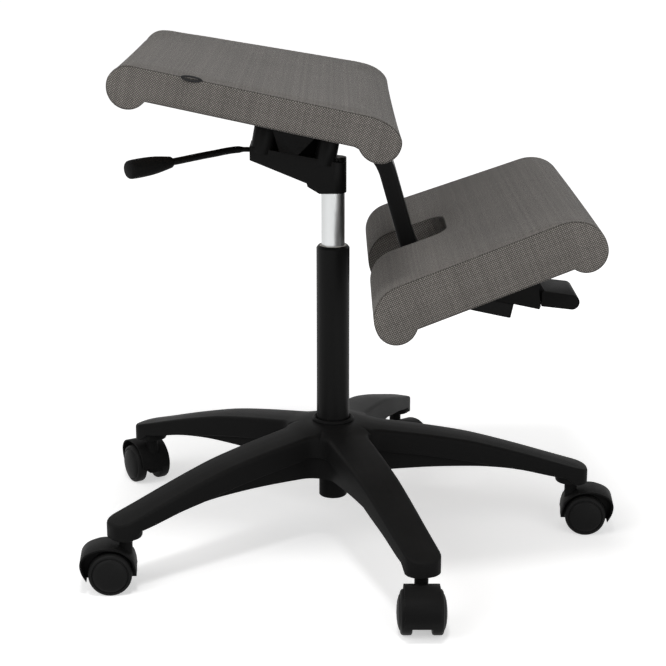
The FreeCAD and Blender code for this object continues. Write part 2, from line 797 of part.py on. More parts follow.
def lever_grip():
    """The rounded handle moulded on the lever's end."""
    start = vector(*GRIP_START)
    end = vector(*GRIP_END)
    length = (end - start).Length
    outline = [
        vector(LEVER_RADIUS + 1.4, 0, 0),
        vector(GRIP_RADIUS * 0.78, 0, length * 0.14),
        vector(GRIP_RADIUS * 0.93, 0, length * 0.42),
        vector(GRIP_RADIUS, 0, length * 0.78),
        vector(GRIP_RADIUS * 0.86, 0, length * 0.93),
    ]
    cap = [
        vector(GRIP_RADIUS * 0.62, 0, length * 0.985),
        vector(GRIP_RADIUS * 0.25, 0, length),
        vector(0, 0, length),
    ]
    socket = [vector(0, 0, GRIP_SOCKET), vector(LEVER_RADIUS, 0, GRIP_SOCKET), vector(LEVER_RADIUS, 0, 0)]
    edges = [
        smooth(outline),
        arc(outline[-1], cap[0], cap[1]),
        line(cap[1], cap[2]),
        line(cap[2], socket[0]),
        line(socket[0], socket[1]),
        line(socket[1], socket[2]),
        line(socket[2], outline[0]),
    ]
    grip = face_of(edges).revolve(ORIGIN, Z_AXIS, 360)
    grip.Placement = FreeCAD.Placement(start, FreeCAD.Rotation(Z_AXIS, end - start))
    return grip


def lever_pivot_pin():
    """The cross pin that the lever rocks on."""
    return cross_cylinder(LEVER_PIN_RADIUS, LEVER_CHANNEL + LEVER_PIN_SEAT - BODY_GAP, LEVER_PIVOT_X, LEVER_Z)


# Knee arm

def heading_pair(heading):
    """The forward and the upward direction of a run that falls by an angle."""
    angle = math.radians(heading)
    forward = vector(math.cos(angle), 0, -math.sin(angle))
    upward = vector(math.sin(angle), 0, math.cos(angle))
    return forward, upward


def arm_runs():
    """The arm's middle line: straight runs and bends, from the seat to the tail."""
    x, z = seat_point(ARM_REAR_ALONG, -ARM_MIDDLE_DEPTH)
    place = vector(x, 0, z)
    runs = []
    plan = [
        ("run", SEAT_SLOPE, ARM_BEND_ALONG - ARM_REAR_ALONG),
        ("bend", ARM_STEEPNESS, ARM_UPPER_BEND),
        ("run", ARM_STEEPNESS, ARM_STRAIGHT),
        ("bend", TAIL_SLOPE, -ARM_LOWER_BEND),
        ("run", TAIL_SLOPE, TAIL_LENGTH),
    ]
    heading = SEAT_SLOPE
    for kind, angle, size in plan:
        forward, upward = heading_pair(heading)
        if kind == "run":
            runs.append((kind, heading, place, size))
            place = place + forward * size
        else:
            centre = place - upward * size
            runs.append((kind, heading, centre, size, angle))
            heading = angle
            place = centre + heading_pair(heading)[1] * size
    return runs, place


def arm_side(offset):
    """The edges of a line beside the arm's middle line."""
    edges = []
    for run in arm_runs()[0]:
        forward, upward = heading_pair(run[1])
        if run[0] == "run":
            start = run[2] + upward * offset
            edges.append(line(start, start + forward * run[3]))
            continue
        reach = run[3] + offset
        points = []
        for share in (0.0, 0.5, 1.0):
            direction = heading_pair(run[1] + (run[4] - run[1]) * share)[1]
            points.append(run[2] + direction * reach)
        edges.append(arc(points[0], points[1], points[2]))
    return edges


def arm_band(half_thickness, half_width):
    """A curved bar of the arm's route, of a given thickness and width."""
    top = arm_side(half_thickness)
    bottom = arm_side(-half_thickness)
    front = line(top[-1].Vertexes[-1].Point, bottom[-1].Vertexes[-1].Point)
    back = line(top[0].Vertexes[0].Point, bottom[0].Vertexes[0].Point)
    face = face_of(Part.sortEdges(top + bottom + [front, back])[0])
    face.translate(vector(0, -half_width, 0))
    return face.extrude(vector(0, 2 * half_width, 0))


def knee_arm():
    """The bent tube from under the seat, through the knee pad's slot, to the bracket."""
    outer = arm_band(ARM_THICKNESS / 2, ARM_WIDTH / 2)
    long_edges = []
    for edge in outer.Edges:
        ends = [vertex.Point for vertex in edge.Vertexes]
        if abs(ends[0].y - ends[1].y) < 0.01 and edge.Length > ARM_THICKNESS + 1:
            long_edges.append(edge)
    outer = outer.makeFillet(ARM_CORNER, long_edges)
    inner = arm_band(ARM_THICKNESS / 2 - ARM_WALL, ARM_WIDTH / 2 - ARM_WALL)
    tube = outer.cut(inner).cut(frame_bolt_holes(BOLT_RADIUS))
    return tube.cut(bracket_bolt_shanks())


def arm_plug():
    """The plastic plug that closes the tube's lower end."""
    inside = block(-PLUG_DEPTH, 0, ARM_WIDTH / 2 - ARM_WALL, -ARM_THICKNESS / 2 + ARM_WALL,
                   ARM_THICKNESS / 2 - ARM_WALL)
    flange = block(0, 2, ARM_WIDTH / 2 - 0.5, -ARM_THICKNESS / 2 + 0.5, ARM_THICKNESS / 2 - 0.5)
    return on_tail(joined([inside, flange]))


def on_tail(shape):
    """Moves a shape drawn at the origin to the arm's lower end, along its tail."""
    placed = shape.copy()
    placed.rotate(ORIGIN, Y_AXIS, TAIL_SLOPE)
    placed.translate(arm_runs()[1])
    return placed


# Knee bracket and release

def tail_point(along, height):
    """The (x, z) place of a point given along and square to the arm's tail."""
    end = arm_runs()[1]
    forward, upward = heading_pair(TAIL_SLOPE)
    point = end + forward * along + upward * height
    return point.x, point.z


def knee_bracket():
    """The bracket on the arm's tail: two cheeks, a floor and a sloping top."""
    tail_top = ARM_THICKNESS / 2
    front_foot = tail_point(BRACKET_REACH, tail_top)
    outline = [
        tail_point(-BRACKET_BACK, tail_top),
        front_foot,
        (front_foot[0] + 1.5, front_foot[1] + 4),
        (PADDLE_ROOT_X - 4, PADDLE_TOP_Z + 1),
        pad_point(BRACKET_TOP_FRONT, bracket_top),
        pad_point(BRACKET_TOP_REAR, bracket_top),
    ]
    body = side_prism(outline, -BRACKET_HALF_WIDTH, BRACKET_HALF_WIDTH)
    floor = tail_top + BRACKET_WALL
    under = bracket_top - BRACKET_WALL
    pocket = side_prism([
        tail_point(-BRACKET_BACK + 12, floor),
        tail_point(BRACKET_REACH + 20, floor),
        pad_point(BRACKET_TOP_FRONT + 20, under),
        pad_point(BRACKET_TOP_REAR + 5, under),
    ], -BRACKET_HALF_WIDTH + BRACKET_WALL, BRACKET_HALF_WIDTH - BRACKET_WALL)
    body = body.cut(pocket).cut(bracket_bolt_shanks())
    body = body.cut(cross_cylinder(PADDLE_PIN_RADIUS, BRACKET_HALF_WIDTH + 1, *PADDLE_PIVOT))
    body = body.cut(plunger_well())
    return body.cut(plunger_hole(RUNNING_CLEARANCE)).cut(shoe_screw_shanks())


def bracket_bolt_places():
    """The two bolts side by side on the arm's tail, clear of the plunger's head."""
    return [(BRACKET_BOLT_ALONG, side * BRACKET_BOLT_SPREAD * ARM_WIDTH) for side in (-1, 1)]


def bracket_bolt_shanks():
    """The bracket bolts' shanks, from the bracket's floor into the tube."""
    tail_top = ARM_THICKNESS / 2
    shanks = []
    for along, across in bracket_bolt_places():
        shanks.append(cylinder(BOLT_RADIUS, tail_top - ARM_WALL, tail_top + BRACKET_WALL, along, across))
    return on_tail(Part.makeCompound(shanks))


def bracket_bolts():
    """Two bolts that fasten the bracket to the arm's tail."""
    floor = ARM_THICKNESS / 2 + BRACKET_WALL
    bolts = []
    for along, across in bracket_bolt_places():
        shank = cylinder(BOLT_RADIUS, ARM_THICKNESS / 2 - ARM_WALL, floor, along, across)
        head = cylinder(BOLT_HEAD_RADIUS, floor, floor + BOLT_HEAD_HEIGHT, along, across)
        bolts.append(on_tail(joined([shank, head])))
    return Part.makeCompound(bolts)


def plunger_along():
    """The plunger's place along the knee pad, behind the paddle's pivot."""
    slope = math.radians(PAD_SLOPE)
    dx = PADDLE_PIVOT[0] - PAD_X
    dz = PADDLE_PIVOT[1] - PAD_Z
    pivot_along = dx * math.cos(slope) + dz * math.sin(slope)
    pivot_height = -dx * math.sin(slope) + dz * math.cos(slope)
    return pivot_along - PLUNGER_ARM, pivot_height


def plunger_hole(clearance):
    """The hole that guides the plunger."""
    along = plunger_along()[0]
    return on_pad(cylinder(PLUNGER_RADIUS + clearance, bracket_top - 20, pad_board_bottom, along))


def plunger_well():
    """The room under the plunger's head for its travel."""
    along, height = plunger_along()
    return on_pad(cylinder(PLUNGER_HEAD_RADIUS + BODY_GAP, height - PLUNGER_WELL, height - 3, along))


def lock_plunger():
    """The pin that clamps the rail, with the head that the paddle pushes down."""
    along, height = plunger_along()
    head_top = height - 3.1
    pin = cylinder(PLUNGER_RADIUS, head_top, pad_board_bottom - RAIL_WALL - SHOE_CLEARANCE, along)
    head = cylinder(PLUNGER_HEAD_RADIUS, head_top - 3, head_top, along)
    return on_pad(joined([pin, head]))


def rail_shoe():
    """The slippery block that the rail runs on."""
    inner = RAIL_HALF_WIDTH - RAIL_WALL
    gap = inner - RAIL_LIP
    top = pad_board_bottom - RAIL_WALL - SHOE_CLEARANCE
    wide_low = rail_bottom + RAIL_WALL + SHOE_CLEARANCE
    wide = block(SHOE_REAR, SHOE_FRONT, inner - SHOE_CLEARANCE, wide_low, top)
    neck = block(SHOE_REAR, SHOE_FRONT, gap - SHOE_CLEARANCE, bracket_top, wide_low + 1)
    shoe = on_pad(joined([wide, neck]))
    return shoe.cut(plunger_hole(RUNNING_CLEARANCE)).cut(shoe_screw_shanks())


def shoe_screw_places():
    """The two screws through the bracket's top into the shoe."""
    return (SHOE_FRONT - 20, SHOE_FRONT - 7)


def shoe_screw_shanks():
    """The shoe screws' shanks."""
    low = bracket_top - BRACKET_WALL
    shanks = [cylinder(SCREW_RADIUS, low, bracket_top + 8, along) for along in shoe_screw_places()]
    return on_pad(Part.makeCompound(shanks))


def shoe_screws():
    """Two screws that hold the shoe on the bracket."""
    low = bracket_top - BRACKET_WALL
    screws = []
    for along in shoe_screw_places():
        shank = cylinder(SCREW_RADIUS, low, bracket_top + 8, along)
        head = cylinder(SCREW_HEAD_RADIUS, low - 2.5, low, along)
        screws.append(on_pad(joined([shank, head])))
    return Part.makeCompound(screws)


def pad_rail():
    """The lipped rail under the knee pad."""
    outer = block(RAIL_REAR, RAIL_FRONT, RAIL_HALF_WIDTH, rail_bottom, pad_board_bottom)
    inner = RAIL_HALF_WIDTH - RAIL_WALL
    room = block(RAIL_REAR - 1, RAIL_FRONT + 1, inner, rail_bottom + RAIL_WALL,
                 pad_board_bottom - RAIL_WALL)
    mouth = block(RAIL_REAR - 1, RAIL_FRONT + 1, inner - RAIL_LIP, rail_bottom - 1,
                  rail_bottom + RAIL_WALL + 1)
    return on_pad(outer.cut(room).cut(mouth)).cut(rail_screw_shapes())


def rail_screw_shapes():
    """Four flush screws through the rail into the knee board."""
    screws = []
    low = pad_board_bottom - RAIL_WALL
    for along in (RAIL_REAR + 8, RAIL_FRONT - 8):
        for side in (-1, 1):
            y = side * (RAIL_HALF_WIDTH - RAIL_WALL - 8)
            place = vector(along, y, low)
            head = Part.makeCone(SCREW_HEAD_RADIUS, SCREW_RADIUS, RAIL_WALL, place, Z_AXIS)
            shank = cylinder(SCREW_RADIUS, low + RAIL_WALL, pad_board_bottom + BOARD_THICKNESS - 3, along, y)
            screws.append(joined([head, shank]))
    return on_pad(Part.makeCompound(screws))


def paddle_pin():
    """The cross pin that the release paddle turns on."""
    return cross_cylinder(PADDLE_PIN_RADIUS, BRACKET_HALF_WIDTH, *PADDLE_PIVOT)


def release_paddle():
    """The broad finger paddle that draws the plunger down when it is lifted."""
    pivot_x, pivot_z = PADDLE_PIVOT
    inside = BRACKET_HALF_WIDTH - BRACKET_WALL - 1
    fall = math.tan(math.radians(PADDLE_SLOPE))
    radius = PADDLE_THICKNESS / 2
    tip_top = PADDLE_TOP_Z - fall * (PADDLE_TIP_X - radius - PADDLE_ROOT_X)
    root_low = PADDLE_TOP_Z - PADDLE_THICKNESS
    corners = [
        vector(PADDLE_ROOT_X, 0, PADDLE_TOP_Z),
        vector(PADDLE_TIP_X - radius, 0, tip_top),
        vector(PADDLE_TIP_X, 0, tip_top - radius),
        vector(PADDLE_TIP_X - radius, 0, tip_top - PADDLE_THICKNESS),
        vector(PADDLE_ROOT_X, 0, root_low),
    ]
    edges = [
        line(corners[0], corners[1]),
        arc(corners[1], corners[2], corners[3]),
        line(corners[3], corners[4]),
        line(corners[4], corners[0]),
    ]
    face = face_of(edges)
    face.translate(vector(0, -PADDLE_HALF_WIDTH, 0))
    blade = face.extrude(vector(0, 2 * PADDLE_HALF_WIDTH, 0))
    neck = side_prism([
        (pivot_x - PADDLE_HUB_RADIUS * 0.8, pivot_z - 5),
        (PADDLE_ROOT_X - 6, root_low + 5),
        (PADDLE_ROOT_X + 4, root_low + 5),
        (PADDLE_ROOT_X + 4, PADDLE_TOP_Z - 1),
        (pivot_x + PADDLE_HUB_RADIUS * 0.8, pivot_z + 4),
    ], -inside, inside)
    hub = cross_cylinder(PADDLE_HUB_RADIUS, inside, pivot_x, pivot_z)
    prongs = []
    along, height = plunger_along()
    for side in (-1, 1):
        y = side * (PLUNGER_RADIUS + 1.0)
        corner = vector(along - 4, min(y, y + side * 4), height - 2.5)
        prongs.append(on_pad(Part.makeBox(PLUNGER_ARM, 4, 5, corner)))
    body = joined([blade, neck, hub] + prongs)
    return body.cut(cross_cylinder(PADDLE_PIN_RADIUS + RUNNING_CLEARANCE, inside + 1, pivot_x, pivot_z))


# Cushions

def cushion_profile(size, crown, inset, y):
    """A cushion's side outline: flat top, rounded ends that roll under, flat underside."""
    length, thickness, top_radius, roll_radius, roll_depth = size
    half = length / 2 - inset
    top = crown - inset
    shoulder = top_radius + crown - inset
    roll = roll_radius - inset
    roll_x = length / 2 - roll_radius
    roll_z = -(roll_depth - roll_radius)
    bottom = -thickness + inset
    drop = bottom - roll_z
    inner = math.sqrt(roll * roll - drop * drop)
    turn_start = math.atan2(drop, -inner) + 2 * math.pi
    turn_middle = turn_start / 2 + math.pi
    bulge = math.sqrt(0.5) * shoulder
    front = [
        vector(half - shoulder, y, top),
        vector(half - shoulder + bulge, y, top - shoulder + bulge),
        vector(half, y, top - shoulder),
        vector(half, y, roll_z),
        vector(roll_x + roll * math.cos(turn_middle), y, roll_z + roll * math.sin(turn_middle)),
        vector(roll_x - inner, y, bottom),
    ]
    rear = [vector(-p.x, y, p.z) for p in front]
    return Part.Wire([
        line(rear[0], front[0]),
        arc(front[0], front[1], front[2]),
        line(front[2], front[3]),
        arc(front[3], front[4], front[5]),
        line(front[5], rear[5]),
        arc(rear[5], rear[4], rear[3]),
        line(rear[3], rear[2]),
        arc(rear[2], rear[1], rear[0]),
    ])


def tapered_plan(length, rear_width, front_width, inset, low, high):
    """An upright prism of a cushion's plan, wider at one end."""
    half = length / 2
    rear = rear_width / 2 - inset
    front = front_width / 2 - inset
    corners = [
        vector(-half, -rear, low),
        vector(half, -front, low),
        vector(half, front, low),
        vector(-half, rear, low),
    ]
    face = Part.Face(Part.makePolygon(corners + corners[:1]))
    return face.extrude(vector(0, 0, high - low))


def cushion_solid(size, widths, inset):
    """A crowned cushion with flat side panels, drawn level at the origin."""
    reach = max(widths) / 2 + 10
    sections = [
        cushion_profile(size, 0.0, inset, -reach),
        cushion_profile(size, CROWN, inset, 0.0),
        cushion_profile(size, 0.0, inset, reach),
    ]
    body = Part.makeLoft(sections, True, False)
    return body.common(tapered_plan(size[0], widths[0], widths[1], inset, -100, 50))


def board_plan(size, widths, inset, low, high):
    """The flat area between a cushion's end rolls, drawn in from its edges."""
    length = size[0] - 4 * size[3] - 2 * inset
    share = (widths[1] - widths[0]) / size[0]
    rear = widths[0] + share * (size[0] - length) / 2
    front = widths[1] - share * (size[0] - length) / 2
    return tapered_plan(length, rear, front, BOARD_MARGIN + inset, low, high)


SEAT_SIZE = (SEAT_LENGTH, SEAT_THICKNESS, SEAT_TOP_RADIUS, SEAT_ROLL_RADIUS, SEAT_ROLL_DEPTH)
SEAT_WIDTHS = (SEAT_REAR_WIDTH, SEAT_FRONT_WIDTH)
PAD_SIZE = (PAD_LENGTH, PAD_THICKNESS, PAD_TOP_RADIUS, PAD_ROLL_RADIUS, PAD_ROLL_DEPTH)
PAD_WIDTHS = (PAD_REAR_WIDTH, PAD_FRONT_WIDTH)


def board_of(size, widths):
    """A plywood board on a cushion's underside, drawn level."""
    low = -size[1] + COVER_THICKNESS
    return board_plan(size, widths, 0.0, low, low + BOARD_THICKNESS)


def cover_of(size, widths):
    """A fabric cover, open underneath where the board shows."""
    inside = cushion_solid(size, widths, COVER_THICKNESS)
    opening = board_plan(size, widths, 3.0, -size[1] - 1, -size[1] + COVER_THICKNESS + 1)
    return cushion_solid(size, widths, 0.0).cut(inside).cut(opening)


def slot_prism(margin):
    """The slot in the knee pad that the arm passes through, open to the rear."""
    half = SLOT_WIDTH / 2 + margin
    end = SLOT_END + margin
    corner = SLOT_CORNER + margin
    back = -PAD_LENGTH
    low = -150.0
    bend = corner * math.sqrt(0.5)
    points = [
        vector(back, -half, low),
        vector(end - corner, -half, low),
        vector(end - corner + bend, -half + corner - bend, low),
        vector(end, -half + corner, low),
    ]
    mirrored = [vector(p.x, -p.y, low) for p in points]
    edges = [
        line(points[0], points[1]),
        arc(points[1], points[2], points[3]),
        line(points[3], mirrored[3]),
        arc(mirrored[3], mirrored[2], mirrored[1]),
        line(mirrored[1], mirrored[0]),
        line(mirrored[0], points[0]),
    ]
    return face_of(edges).extrude(vector(0, 0, 300))


def seat_foam():
    """The seat's foam, hollowed for the board."""
    foam = cushion_solid(SEAT_SIZE, SEAT_WIDTHS, COVER_THICKNESS)
    return on_seat(foam.cut(board_of(SEAT_SIZE, SEAT_WIDTHS)))


def seat_board():
    """The plywood board in the seat."""
    board = on_seat(board_of(SEAT_SIZE, SEAT_WIDTHS))
    for along, y in screw_places():
        hole = cylinder(SCREW_RADIUS, board_bottom - 1, board_bottom + BOARD_THICKNESS - 3, along, y)
        board = board.cut(on_seat(hole))
    return board


def seat_tag():
    """A plain sewn tag on the seat's right side panel, under the top seam."""
    slope = math.atan2((SEAT_FRONT_WIDTH - SEAT_REAR_WIDTH) / 2, SEAT_LENGTH)
    share = TAG_ALONG / SEAT_LENGTH + 0.5
    half_width = (SEAT_REAR_WIDTH + (SEAT_FRONT_WIDTH - SEAT_REAR_WIDTH) * share) / 2
    corner = vector(-TAG_LENGTH / 2, -TAG_THICKNESS, -TAG_DROP - TAG_HEIGHT)
    tag = Part.makeBox(TAG_LENGTH, TAG_THICKNESS, TAG_HEIGHT, corner)
    tag.rotate(ORIGIN, Z_AXIS, -math.degrees(slope))
    tag.translate(vector(TAG_ALONG, -half_width, 0))
    return on_seat(tag)


def knee_cover():
    """The knee pad's cover: the outer form less the foam, walls along the slot too."""
    outer = cushion_solid(PAD_SIZE, PAD_WIDTHS, 0.0).cut(slot_prism(0.0))
    inside = cushion_solid(PAD_SIZE, PAD_WIDTHS, COVER_THICKNESS).cut(slot_prism(COVER_THICKNESS))
    low = -PAD_THICKNESS - 1
    opening = board_plan(PAD_SIZE, PAD_WIDTHS, 3.0, low, low + COVER_THICKNESS + 2)
    return on_pad(outer.cut(inside).cut(opening.cut(slot_prism(BOARD_MARGIN + 3.0))))


def knee_board_level():
    """The knee pad's board, notched for the slot, drawn level."""
    return board_of(PAD_SIZE, PAD_WIDTHS).cut(slot_prism(BOARD_MARGIN))


def knee_foam():
    """The knee pad's foam, hollowed for the board."""
    foam = cushion_solid(PAD_SIZE, PAD_WIDTHS, COVER_THICKNESS).cut(slot_prism(COVER_THICKNESS))
    return on_pad(foam.cut(knee_board_level()))


def knee_board():
    """The plywood board in the knee pad."""
    return on_pad(knee_board_level()).cut(rail_screw_shapes())


# Castors, drawn with the stem on the Z axis and trailing along X

def hood_outline():
    """The hood's side outline about the wheel's centre, over the top from tip to tip."""
    return [
        (-29.8, -1.0),
        (-28.6, 8.5),
        (-24.5, 18.5),
        (-12.0, 28.0),
        (4.0, 31.0),
        (16.0, 29.5),
        (28.0, 24.0),
        (34.3, 14.5),
        (33.2, 3.0),
        (27.5, -8.4),
    ]


def castor_hood():
    """The castor's moulded body: hood, web between the wheels, neck and axle stubs."""
    x = CASTOR_TRAIL
    z = WHEEL_RADIUS
    points = [vector(x + along, -HOOD_WIDTH / 2, z + up) for along, up in hood_outline()]
    face = face_of([smooth(points), line(points[-1], points[0])])
    room = cross_cylinder(WHEEL_RADIUS + WHEEL_GAP, HOOD_WIDTH, x, z)
    hood = face.extrude(vector(0, HOOD_WIDTH, 0)).cut(room)
    web = cross_cylinder(WHEEL_RADIUS + WHEEL_GAP + 0.5, CASTOR_WEB_WIDTH / 2, x, z)
    web = web.cut(block(x - 60, x + 60, 60, -10, CASTOR_WEB_BOTTOM))
    neck = cylinder(NECK_RADIUS, z + 5, BOSS_BOTTOM - BODY_GAP)
    axle = cross_cylinder(AXLE_RADIUS, AXLE_LENGTH / 2, x, z)
    body = joined([hood, web, neck, axle])
    return body.cut(cylinder(STEM_RADIUS, STEM_FOOT, STEM_TOP))


def castor_stem():
    """The steel stem that turns in the base's sleeve."""
    return cylinder(STEM_RADIUS, STEM_FOOT, STEM_TOP - BODY_GAP)


def castor_wheel(side):
    """One wheel of a castor, with a raised rim and a shallow disc on its outer face."""
    bore = AXLE_RADIUS + RUNNING_CLEARANCE
    bore_end = AXLE_LENGTH / 2 + BODY_GAP
    r = WHEEL_RADIUS
    face = WHEEL_OUTER_FACE
    points = [
        vector(0, 0, bore_end),
        vector(bore, 0, bore_end),
        vector(bore, 0, WHEEL_INNER_FACE),
        vector(r - 1.5, 0, WHEEL_INNER_FACE),
        vector(r, 0, WHEEL_INNER_FACE + 1.5),
        vector(r, 0, face - 6.0),
    ]
    edges = [line(a, b) for a, b in zip(points, points[1:])]
    shoulder = vector(r * 0.82, 0, face - 0.6)
    fall = r - shoulder.x
    rise = shoulder.z - points[-1].z
    round_radius = (fall * fall + rise * rise) / (2 * fall)
    half_turn = math.atan2(rise, round_radius - fall) / 2
    middle = vector(r - round_radius + round_radius * math.cos(half_turn), 0,
                    points[-1].z + round_radius * math.sin(half_turn))
    edges.append(arc(points[-1], middle, shoulder))
    lip = [vector(r * 0.74, 0, face), vector(r * 0.71, 0, face - 1.2)]
    edges.append(line(shoulder, lip[0]))
    edges.append(line(lip[0], lip[1]))
    disc = [vector(r * 0.2, 0, face - 0.6), vector(0, 0, face - 0.6)]
    edges.append(line(lip[1], disc[0]))
    edges.append(line(disc[0], disc[1]))
    edges.append(line(disc[1], points[0]))
    wheel = face_of(edges).revolve(ORIGIN, Z_AXIS, 360)
    wheel.rotate(ORIGIN, X_AXIS, -90 * side)
    wheel.translate(vector(CASTOR_TRAIL, 0, WHEEL_RADIUS))
    return wheel


def castor_nodes():
    """All the castor pieces, by node name."""
    nodes = {}
    for index in range(ARM_COUNT):
        number = index + 1
        nodes["castor_body_%d" % number] = at_castor(castor_hood(), index)
        nodes["castor_stem_%d" % number] = at_castor(castor_stem(), index)
        nodes["castor_wheel_%d_left" % number] = at_castor(castor_wheel(1), index)
        nodes["castor_wheel_%d_right" % number] = at_castor(castor_wheel(-1), index)
    return nodes


def chair_nodes():
    """Every node of the chair, by name."""
    nodes = {
        "star_base": star_base(),
        "castor_sleeves": castor_sleeves(),
        "column_tube": column_tube(),
        "column_collar": column_collar(),
        "guide_bush": guide_bush(),
        "column_foot": column_foot(),
        "thrust_race": thrust_race(),
        "piston_rod": piston_rod(),
        "piston": piston(),
        "rubber_buffer": rubber_buffer(),
        "retaining_clip": retaining_clip(),
        "lift_cylinder": lift_cylinder(),
        "release_pin": release_pin(),
        "mechanism_housing": mechanism_housing(),
        "mounting_plate": mounting_plate(),
        "frame_bolts": frame_bolts(),
        "seat_screws": seat_screws(),
        "lever_rod": lever_rod(),
        "lever_grip": lever_grip(),
        "lever_pivot_pin": lever_pivot_pin(),
        "knee_arm": knee_arm(),
        "arm_plug": arm_plug(),
        "knee_bracket": knee_bracket(),
        "bracket_bolts": bracket_bolts(),
        "rail_shoe": rail_shoe(),
        "shoe_screws": shoe_screws(),
        "paddle_pin": paddle_pin(),
        "release_paddle": release_paddle(),
        "lock_plunger": lock_plunger(),
        "pad_rail": pad_rail(),
        "rail_screws": rail_screw_shapes(),
        "knee_board": knee_board(),
        "knee_foam": knee_foam(),
        "knee_cover": knee_cover(),
        "seat_board": seat_board(),
        "seat_foam": seat_foam(),
        "seat_cover": on_seat(cover_of(SEAT_SIZE, SEAT_WIDTHS)),
        "seat_tag": seat_tag(),
    }
    nodes.update(castor_nodes())
    return nodes


os.makedirs("parts", exist_ok=True)
for name, shape in chair_nodes().items():
    shape.exportStep("parts/%s.step" % name)
    box = shape.BoundBox
    print(name, len(shape.Solids), shape.isValid(), "volume %.0f" % shape.Volume,
          "x %.1f %.1f y %.1f %.1f z %.1f %.1f" % (box.XMin, box.XMax, box.YMin, box.YMax, box.ZMin, box.ZMax))
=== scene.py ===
"""Dresses an office kneeling chair: cushions, castors, lever, trim and finishes around its CAD frame."""

from __future__ import annotations

import json
import logging
import math
from dataclasses import dataclass, field
from enum import Enum
from typing import Callable, Dict, List, Optional, Sequence, Set, Tuple

import bmesh
import bpy
from mathutils import Matrix, Vector

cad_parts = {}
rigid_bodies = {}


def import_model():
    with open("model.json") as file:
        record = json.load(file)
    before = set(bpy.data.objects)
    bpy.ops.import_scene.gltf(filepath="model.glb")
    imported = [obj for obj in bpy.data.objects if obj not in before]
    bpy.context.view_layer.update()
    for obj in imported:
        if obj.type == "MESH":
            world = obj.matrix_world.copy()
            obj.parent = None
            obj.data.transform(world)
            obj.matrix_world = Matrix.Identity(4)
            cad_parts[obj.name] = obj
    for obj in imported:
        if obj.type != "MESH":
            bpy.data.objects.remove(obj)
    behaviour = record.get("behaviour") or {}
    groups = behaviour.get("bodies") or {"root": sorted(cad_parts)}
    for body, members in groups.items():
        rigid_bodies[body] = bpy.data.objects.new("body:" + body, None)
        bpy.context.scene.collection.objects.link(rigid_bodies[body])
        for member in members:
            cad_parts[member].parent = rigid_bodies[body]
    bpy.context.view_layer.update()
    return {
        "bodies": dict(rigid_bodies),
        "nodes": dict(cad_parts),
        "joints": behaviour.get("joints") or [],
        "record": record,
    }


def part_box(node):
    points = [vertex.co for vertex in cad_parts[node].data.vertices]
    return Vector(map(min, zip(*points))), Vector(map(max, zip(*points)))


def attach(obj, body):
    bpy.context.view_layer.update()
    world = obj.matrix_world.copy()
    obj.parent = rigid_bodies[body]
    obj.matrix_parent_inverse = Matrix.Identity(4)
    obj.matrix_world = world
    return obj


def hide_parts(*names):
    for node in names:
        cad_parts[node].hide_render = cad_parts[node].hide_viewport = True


LOG = logging.getLogger("kneeling_chair")
MM = 0.001
# How near two places count as the same, and the radius of a turned piece's poles, in millimetres.
CLOSE = 0.01
CORE = 0.3
ARC_STEPS = 24
# Edges up to these angles in degrees are shaded smooth, and a CAD node's edges past the last are rounded.
TURNED_SHADING = 38.0
JOINED_SHADING = 40.0
ROUNDED_FROM = 34.0

Point = Tuple[float, float]
Colour = Tuple[float, float, float]
Place = Tuple[float, float, float]


class Slot(Enum):
    """The record's material slots."""

    PLASTIC = "black_plastic"
    WHEEL = "wheel_nylon"
    PAINT = "black_paint"
    CHROME = "polished_steel"
    STEEL = "steel"
    NYLON = "pale_nylon"
    RUBBER = "rubber"
    PLYWOOD = "plywood"
    FOAM = "foam"
    FABRIC = "upholstery"
    TAPE = "tag_tape"


